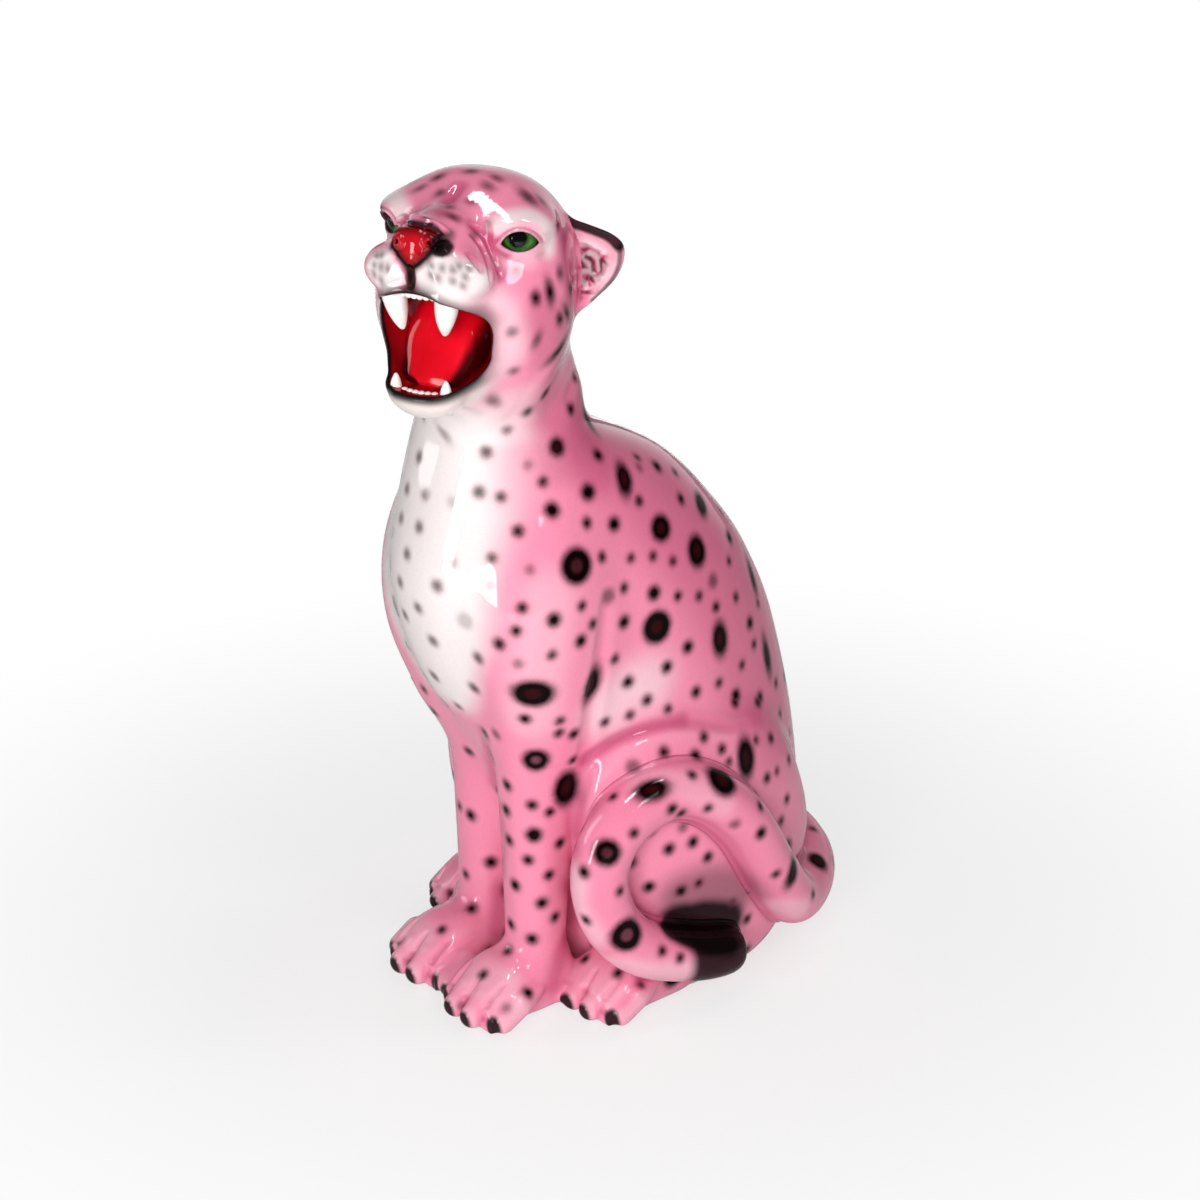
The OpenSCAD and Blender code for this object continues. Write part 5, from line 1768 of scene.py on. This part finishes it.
def grown_mesh(name, base, tree, values):
    """Plain mesh of what a geometry tree makes from a base mesh."""
    holder = bpy.data.objects.new(name + "_seed", base)
    bpy.context.scene.collection.objects.link(holder)
    modifier = holder.modifiers.new(name, "NODES")
    modifier.node_group = tree
    for item in tree.interface.items_tree:
        if item.item_type == "SOCKET" and item.in_out == "INPUT" and item.name in values:
            modifier[item.identifier] = values[item.name]
    graph = bpy.context.evaluated_depsgraph_get()
    mesh = bpy.data.meshes.new_from_object(holder.evaluated_get(graph))
    mesh.name = name
    holder.modifiers.remove(modifier)
    bpy.data.objects.remove(holder)
    mesh.polygons.foreach_set("use_smooth", np.ones(len(mesh.polygons), bool))
    return mesh


def tooth_row_tree():
    """Teeth side by side along a shallow arc."""
    tree, add, given = tree_with_inputs("tooth_row", (
        ("Teeth", "NodeSocketInt", 6), ("Row Width", "NodeSocketFloat", 0.02),
        ("Tooth Height", "NodeSocketFloat", 0.003), ("Tooth Depth", "NodeSocketFloat", 0.004),
        ("Arc", "NodeSocketFloat", 18.0)))
    teeth = given.outputs["Teeth"]
    width = given.outputs["Row Width"]
    pitch = add("Math", [width, teeth], operation="DIVIDE")
    half = add("Math", [width, -0.5], operation="MULTIPLY")
    shift = add("Math", [pitch, 0.5, half], operation="MULTIPLY_ADD")
    start = add("CombineXYZ", {"X": shift})
    step = add("CombineXYZ", {"X": pitch})
    line = add("GeometryNodeMeshLine", {"Count": teeth, "Start Location": start, "Offset": step})
    place = add("GeometryNodeInputPosition")
    parted = add("SeparateXYZ", [place])
    square = add("Math", [parted, parted], operation="MULTIPLY")
    sag = add("Math", [square, given.outputs["Arc"]], operation="MULTIPLY")
    bend = add("CombineXYZ", {"Y": sag})
    arc = add("GeometryNodeSetPosition", {"Geometry": line, "Offset": bend})
    tooth = add("GeometryNodeMeshUVSphere", {"Segments": 16, "Rings": 12, "Radius": 0.5})
    across = add("Math", [pitch, 1.25], operation="MULTIPLY")
    tall = add("Math", [given.outputs["Tooth Height"], 2.0], operation="MULTIPLY")
    size = add("CombineXYZ", [across, given.outputs["Tooth Depth"], tall])
    row = add("GeometryNodeInstanceOnPoints", {"Points": arc, "Instance": tooth, "Scale": size})
    end_tree(add, row, "tooth_glaze")
    return tree


def felt_pad_tree():
    """A pad with a rounded rim on each point."""
    tree, add, given = tree_with_inputs("felt_pad", (
        ("Pad Diameter", "NodeSocketFloat", 0.024), ("Pad Thickness", "NodeSocketFloat", 0.002),
        ("Rim Rounding", "NodeSocketFloat", 0.03)))
    thick = given.outputs["Pad Thickness"]
    radius = add("Math", [given.outputs["Pad Diameter"], 0.5], operation="MULTIPLY")
    disc = add("GeometryNodeMeshCylinder", {
        "Vertices": 64, "Side Segments": 6, "Fill Segments": 4, "Radius": radius, "Depth": thick},
        fill_type="TRIANGLE_FAN")
    place = add("GeometryNodeInputPosition")
    height = add("SeparateXYZ", [place]).outputs["Z"]
    share = add("Math", [height, thick], operation="DIVIDE")
    steep = add("Math", [share, 2.0], operation="MULTIPLY")
    fourth = add("Math", [steep, 4.0], operation="POWER")
    drawn = add("Math", [fourth, given.outputs["Rim Rounding"]], operation="MULTIPLY")
    narrow = add("Math", [1.0, drawn], operation="SUBTRACT")
    scale = add("CombineXYZ", [narrow, narrow, 1.0])
    moved = add("VectorMath", [place, scale], operation="MULTIPLY")
    pad = add("GeometryNodeSetPosition", {"Geometry": disc, "Position": moved})
    points = given.outputs["Geometry"]
    pads = add("GeometryNodeInstanceOnPoints", {"Points": points, "Instance": pad})
    end_tree(add, pads, "felt")
    return tree


# Settings that a user would change


class LeopardSizes(PropertyGroup):
    """Sizes of the pieces that are modelled apart from the castings."""

    fang_length: bpy.props.FloatProperty(
        name="Fang Length", description="Length of an upper fang below the gum", default=FANG_L * MM,
        min=0.01, max=0.025, unit="LENGTH")
    fang_width: bpy.props.FloatProperty(
        name="Fang Width", description="Width of an upper fang at the gum", default=FANG_D * 1.1 * MM,
        min=0.006, max=0.014, unit="LENGTH")
    eye_diameter: bpy.props.FloatProperty(
        name="Eye Diameter", description="Diameter of an eyeball", default=EYE_D * MM, min=0.018, max=0.022,
        unit="LENGTH")
    incisors: bpy.props.IntProperty(
        name="Incisors", description="Small teeth in each row", default=6, min=4, max=8)
    felt_diameter: bpy.props.FloatProperty(
        name="Felt Diameter", description="Diameter of a felt pad", default=FELT_D * MM, min=0.016, max=0.03,
        unit="LENGTH")


class LeopardStage(PropertyGroup):
    """Light and floor of the picture."""

    floor_colour: bpy.props.FloatVectorProperty(
        name="Floor Colour", description="Colour of the floor", subtype="COLOR", size=3, min=0, max=1,
        default=tuple(linear("#F7F7F7")))
    lamp_level: bpy.props.FloatProperty(
        name="Lamps", description="Brightness of all lamps", default=1.0, min=0.0, max=4.0)
    world_level: bpy.props.FloatProperty(
        name="Room Light", description="Brightness of the white room", default=0.22, min=0.0, max=2.0)


# Operators


class LEOPARD_OT_torso(Operator):
    """Cast the torso"""

    bl_idname = "leopard.torso"
    bl_label = "Torso"

    def execute(self, context):
        cast("torso", "body")
        return {"FINISHED"}


class LEOPARD_OT_head(Operator):
    """Cast the snarling head"""

    bl_idname = "leopard.head"
    bl_label = "Head"

    def execute(self, context):
        cast("head", "head")
        return {"FINISHED"}


class LEOPARD_OT_ears(Operator):
    """Cast both ears"""

    bl_idname = "leopard.ears"
    bl_label = "Ears"

    def execute(self, context):
        cast_pair("ear", "head")
        return {"FINISHED"}


class LEOPARD_OT_forelegs(Operator):
    """Cast both forelegs with their paws"""

    bl_idname = "leopard.forelegs"
    bl_label = "Forelegs"

    def execute(self, context):
        cast_pair("foreleg", "front")
        return {"FINISHED"}


class LEOPARD_OT_haunches(Operator):
    """Cast both haunches"""

    bl_idname = "leopard.haunches"
    bl_label = "Haunches"

    def execute(self, context):
        cast_pair("haunch", "body")
        return {"FINISHED"}


class LEOPARD_OT_hind_paws(Operator):
    """Cast both hind paws"""

    bl_idname = "leopard.hind_paws"
    bl_label = "Hind Paws"

    def execute(self, context):
        cast_pair("hind_paw", "front")
        return {"FINISHED"}


class LEOPARD_OT_tail(Operator):
    """Cast the tail"""

    bl_idname = "leopard.tail"
    bl_label = "Tail"

    def execute(self, context):
        cast("tail", "tail")
        return {"FINISHED"}


class LEOPARD_OT_tongue(Operator):
    """Model the tongue"""

    bl_idname = "leopard.tongue"
    bl_label = "Tongue"

    def execute(self, context):
        points, triangles, quads = forward_loft(TONGUE_SECTIONS, 70, 72)
        # share across the tongue, which its glaze uses for painted shade at the edges
        flank = np.abs(points[:, 0]) / tongue_half(points[:, 1])
        mesh = mesh_of("tongue", placed((points, triangles, quads)))
        add_values(mesh, "flank", flank)
        place_piece(mesh, "tongue_glazed", "tongue", "mouth_glaze")
        return {"FINISHED"}


class LEOPARD_OT_fangs(Operator):
    """Model the four fangs"""

    bl_idname = "leopard.fangs"
    bl_label = "Fangs"

    def execute(self, context):
        sizes = context.scene.leopard_sizes
        rows = (
            ("upper_", UPPER_FANG_ROOT, sizes.fang_length, sizes.fang_width, UPPER_FANG_LEAN, True),
            ("lower_", LOWER_FANG_ROOT, LOWER_FANG_L * MM, LOWER_FANG_D * MM, 0.0, False))
        for side in SIDES:
            for row, root, length, width, lean, down in rows:
                name = row + SIDE_NAMES[side] + "_fang"
                form = fang_form(np.array(root) * (side, 1, 1), length / MM, width / MM, -side * lean, down)
                place_piece(mesh_of(name, form), name + "_glazed", name, "tooth_glaze")
        return {"FINISHED"}


class LEOPARD_OT_incisors(Operator):
    """Grow both rows of small teeth"""

    bl_idname = "leopard.incisors"
    bl_label = "Incisors"

    def execute(self, context):
        count = context.scene.leopard_sizes.incisors
        tree = tooth_row_tree()
        axes = Matrix((HEAD_LEFT, -HEAD_FORWARD, HEAD_UP)).transposed().to_4x4()
        for name, (place, width, height) in TOOTH_ROWS.items():
            values = {"Teeth": count, "Row Width": width * MM, "Tooth Height": height * MM}
            mesh = grown_mesh(name, bpy.data.meshes.new(name + "_seed"), tree, values)
            origin = Matrix.Translation(Vector(from_head(place) * MM))
            mesh.transform(origin @ axes)
            place_piece(mesh, name + "_glazed", name, "tooth_glaze")
        return {"FINISHED"}


class LEOPARD_OT_eyes(Operator):
    """Model both eyes"""

    bl_idname = "leopard.eyes"
    bl_label = "Eyes"

    def execute(self, context):
        diameter = context.scene.leopard_sizes.eye_diameter / MM
        for side in SIDES:
            name = SIDE_NAMES[side] + "_eye"
            form, gaze = eye_form(side, diameter)
            mesh = mesh_of(name, form)
            add_values(mesh, "gaze_angle", gaze)
            place_piece(mesh, name + "_glass", name, "eye_glass")
        return {"FINISHED"}


class LEOPARD_OT_felt_pads(Operator):
    """Set the felt pads under the paws and the torso"""

    bl_idname = "leopard.felt_pads"
    bl_label = "Felt Pads"

    def execute(self, context):
        seeds = bpy.data.meshes.new("felt_seed")
        seeds.from_pydata([(x * MM, y * MM, BASE_Z / 2 * MM) for x, y in FELT_PLACES], [], [])
        values = {"Pad Diameter": context.scene.leopard_sizes.felt_diameter, "Pad Thickness": BASE_Z * MM}
        mesh = grown_mesh("felt_pads", seeds, felt_pad_tree(), values)
        place_piece(mesh, "felt_pads_pressed", "felt_pads", "felt")
        return {"FINISHED"}


# Lamps: right of, above and towards the camera from the target in mm, width, height, power in watts
# The last two values tell whether a lamp lights the clay and whether the glaze mirrors it
SOFTBOXES = (
    ((-250, -120, 1450), 700, 700, 12.5, True, False),
    ((-530, -400, 1400), 260, 500, 4.4, True, False),
    ((-1125, -300, 945), 300, 600, 6.5, False, True),
    ((677, 532, 1266), 380, 300, 3.2, True, True),
    ((-150, 600, -1500), 900, 700, 8.0, True, False),
    ((-250, 1407, 554), 420, 130, 3.4, False, True),
    ((-300, 1200, 840), 200, 330, 3.6, False, True),
    ((-1425, 525, -75), 500, 900, 4.5, False, True),
    ((330, 1330, 640), 110, 340, 2.4, True, True),
)
# The floor disc from the middle of its underside round to its top: radius and height in mm
FLOOR_OUTLINE = ((0.5, -2.0), (3990, -2.0), (4000, -1.0), (3990, 0.0), (0.5, 0.0))


class LEOPARD_OT_stage(Operator):
    """Set up the floor, the light and the camera"""

    bl_idname = "leopard.stage"
    bl_label = "Stage"

    def execute(self, context):
        scene = context.scene
        settings = scene.leopard_stage
        scene.view_settings.view_transform = "Standard"
        self.floor(scene, settings)
        self.world(scene, settings)
        for place, width, height, power, lights, mirrored in SOFTBOXES:
            holder = self.softbox(scene, place, width, height, power * settings.lamp_level)
            holder.visible_diffuse = lights
            holder.visible_glossy = mirrored
        camera = bpy.data.cameras.new("photo_camera")
        camera.sensor_width = SENSOR_MM
        camera.lens = SENSOR_MM * FOCAL_PIXELS / PHOTO_PIXELS
        camera.clip_end = 20.0
        holder = bpy.data.objects.new("photo_camera", camera)
        axes = Matrix((VIEW_RIGHT, VIEW_UP, VIEW_BACK)).transposed().to_4x4()
        holder.matrix_world = Matrix.Translation(Vector(PHOTO_EYE * MM)) @ axes
        scene.collection.objects.link(holder)
        scene.camera = holder
        return {"FINISHED"}

    def floor(self, scene, settings):
        """A large pale disc that shows the shadow near the animal and fades to white."""
        mesh = mesh_of("floor", lathe(FLOOR_OUTLINE, 96))
        floor = bpy.data.objects.new("floor", mesh)
        scene.collection.objects.link(floor)
        material, add = new_material("painted_floor")
        shader = add("BsdfPrincipled", {
            "Base Color": (*settings.floor_colour, 1.0), "Roughness": 0.8, "Specular IOR Level": 0.0})
        place = add("TexCoord").outputs["Object"]
        away = add("VectorMath", [place], operation="LENGTH").outputs["Value"]
        far = add("MapRange", [away, 0.16, 0.6, 0.68, 1.0], **SOFT_STEP)
        seen = add("LightPath").outputs["Is Camera Ray"]
        share = add("Math", [far, seen], operation="MULTIPLY")
        white = add("Emission")
        blend = add("MixShader", [share, shader, white])
        add("OutputMaterial", [blend])
        mesh.materials.append(material)

    def world(self, scene, settings):
        """A white sweep behind the animal, which the glaze mirrors too, and a dimmer room elsewhere."""
        world = bpy.data.worlds.new("white_room")
        scene.world = world
        world.use_nodes = True
        world.node_tree.nodes.clear()
        add = functools.partial(add_node, world.node_tree)
        path = add("LightPath")
        seen = add("Math", [
            path.outputs["Is Camera Ray"], path.outputs["Is Transmission Ray"]], operation="MAXIMUM")
        level = add("MapRange", [seen, 0.0, 1.0, settings.world_level, 1.0])
        heading = add("TexCoord").outputs["Generated"]
        toward = add("VectorMath", [heading, tuple(VIEW_BACK)], operation="DOT_PRODUCT")
        facing = toward.outputs["Value"]
        sweep = add("MapRange", [facing, -1.0, -0.35, 1.0, 0.12], **SOFT_STEP)
        strength = add("Mix", {0: path.outputs["Is Glossy Ray"], 2: level, 3: sweep})
        white = (1.0, 1.0, 1.0, 1.0)
        room = add("Background", {"Color": white, "Strength": strength})
        add("OutputWorld", [room])

    def softbox(self, scene, place, width, height, power):
        """A soft rectangular lamp that faces the animal."""
        light = bpy.data.lights.new("softbox", "AREA")
        light.shape = "RECTANGLE"
        light.size = width * MM
        light.size_y = height * MM
        light.energy = power
        holder = bpy.data.objects.new("softbox", light)
        across, above, toward = place
        spot = PHOTO_TARGET + VIEW_RIGHT * across + VIEW_UP * above + VIEW_BACK * toward
        aim = Vector(PHOTO_TARGET - spot).to_track_quat("-Z", "Y").to_matrix().to_4x4()
        holder.matrix_world = Matrix.Translation(Vector(spot * MM)) @ aim
        scene.collection.objects.link(holder)
        return holder


OPERATORS = (
    LEOPARD_OT_torso, LEOPARD_OT_head, LEOPARD_OT_ears, LEOPARD_OT_forelegs, LEOPARD_OT_haunches,
    LEOPARD_OT_hind_paws, LEOPARD_OT_tail, LEOPARD_OT_tongue, LEOPARD_OT_fangs, LEOPARD_OT_incisors,
    LEOPARD_OT_eyes, LEOPARD_OT_felt_pads, LEOPARD_OT_stage,
)


class LEOPARD_PT_pieces(Panel):
    """Pieces and settings of the ornament"""

    bl_idname = "LEOPARD_PT_pieces"
    bl_label = "Leopard"
    bl_space_type = "VIEW_3D"
    bl_region_type = "UI"
    bl_category = "Leopard"

    def draw(self, context):
        layout = self.layout
        for settings in (context.scene.leopard_sizes, context.scene.leopard_stage):
            for name in settings.__annotations__:
                layout.prop(settings, name)
        for operator in OPERATORS:
            layout.operator(operator.bl_idname)


CLASSES = (LeopardSizes, LeopardStage, *OPERATORS, LEOPARD_PT_pieces)


def register():
    """Adds the classes and their settings to Blender."""
    for kind in CLASSES:
        bpy.utils.register_class(kind)
    bpy.types.Scene.leopard_sizes = bpy.props.PointerProperty(type=LeopardSizes)
    bpy.types.Scene.leopard_stage = bpy.props.PointerProperty(type=LeopardStage)


def unregister():
    """Takes the classes and their settings out again."""
    del bpy.types.Scene.leopard_stage
    del bpy.types.Scene.leopard_sizes
    for kind in reversed(CLASSES):
        bpy.utils.unregister_class(kind)


def main():
    """Builds every piece and the stage."""
    register()
    for operator in OPERATORS:
        group, name = operator.bl_idname.split(".")
        getattr(getattr(bpy.ops, group), name)()


if __name__ == "__main__":
    main()
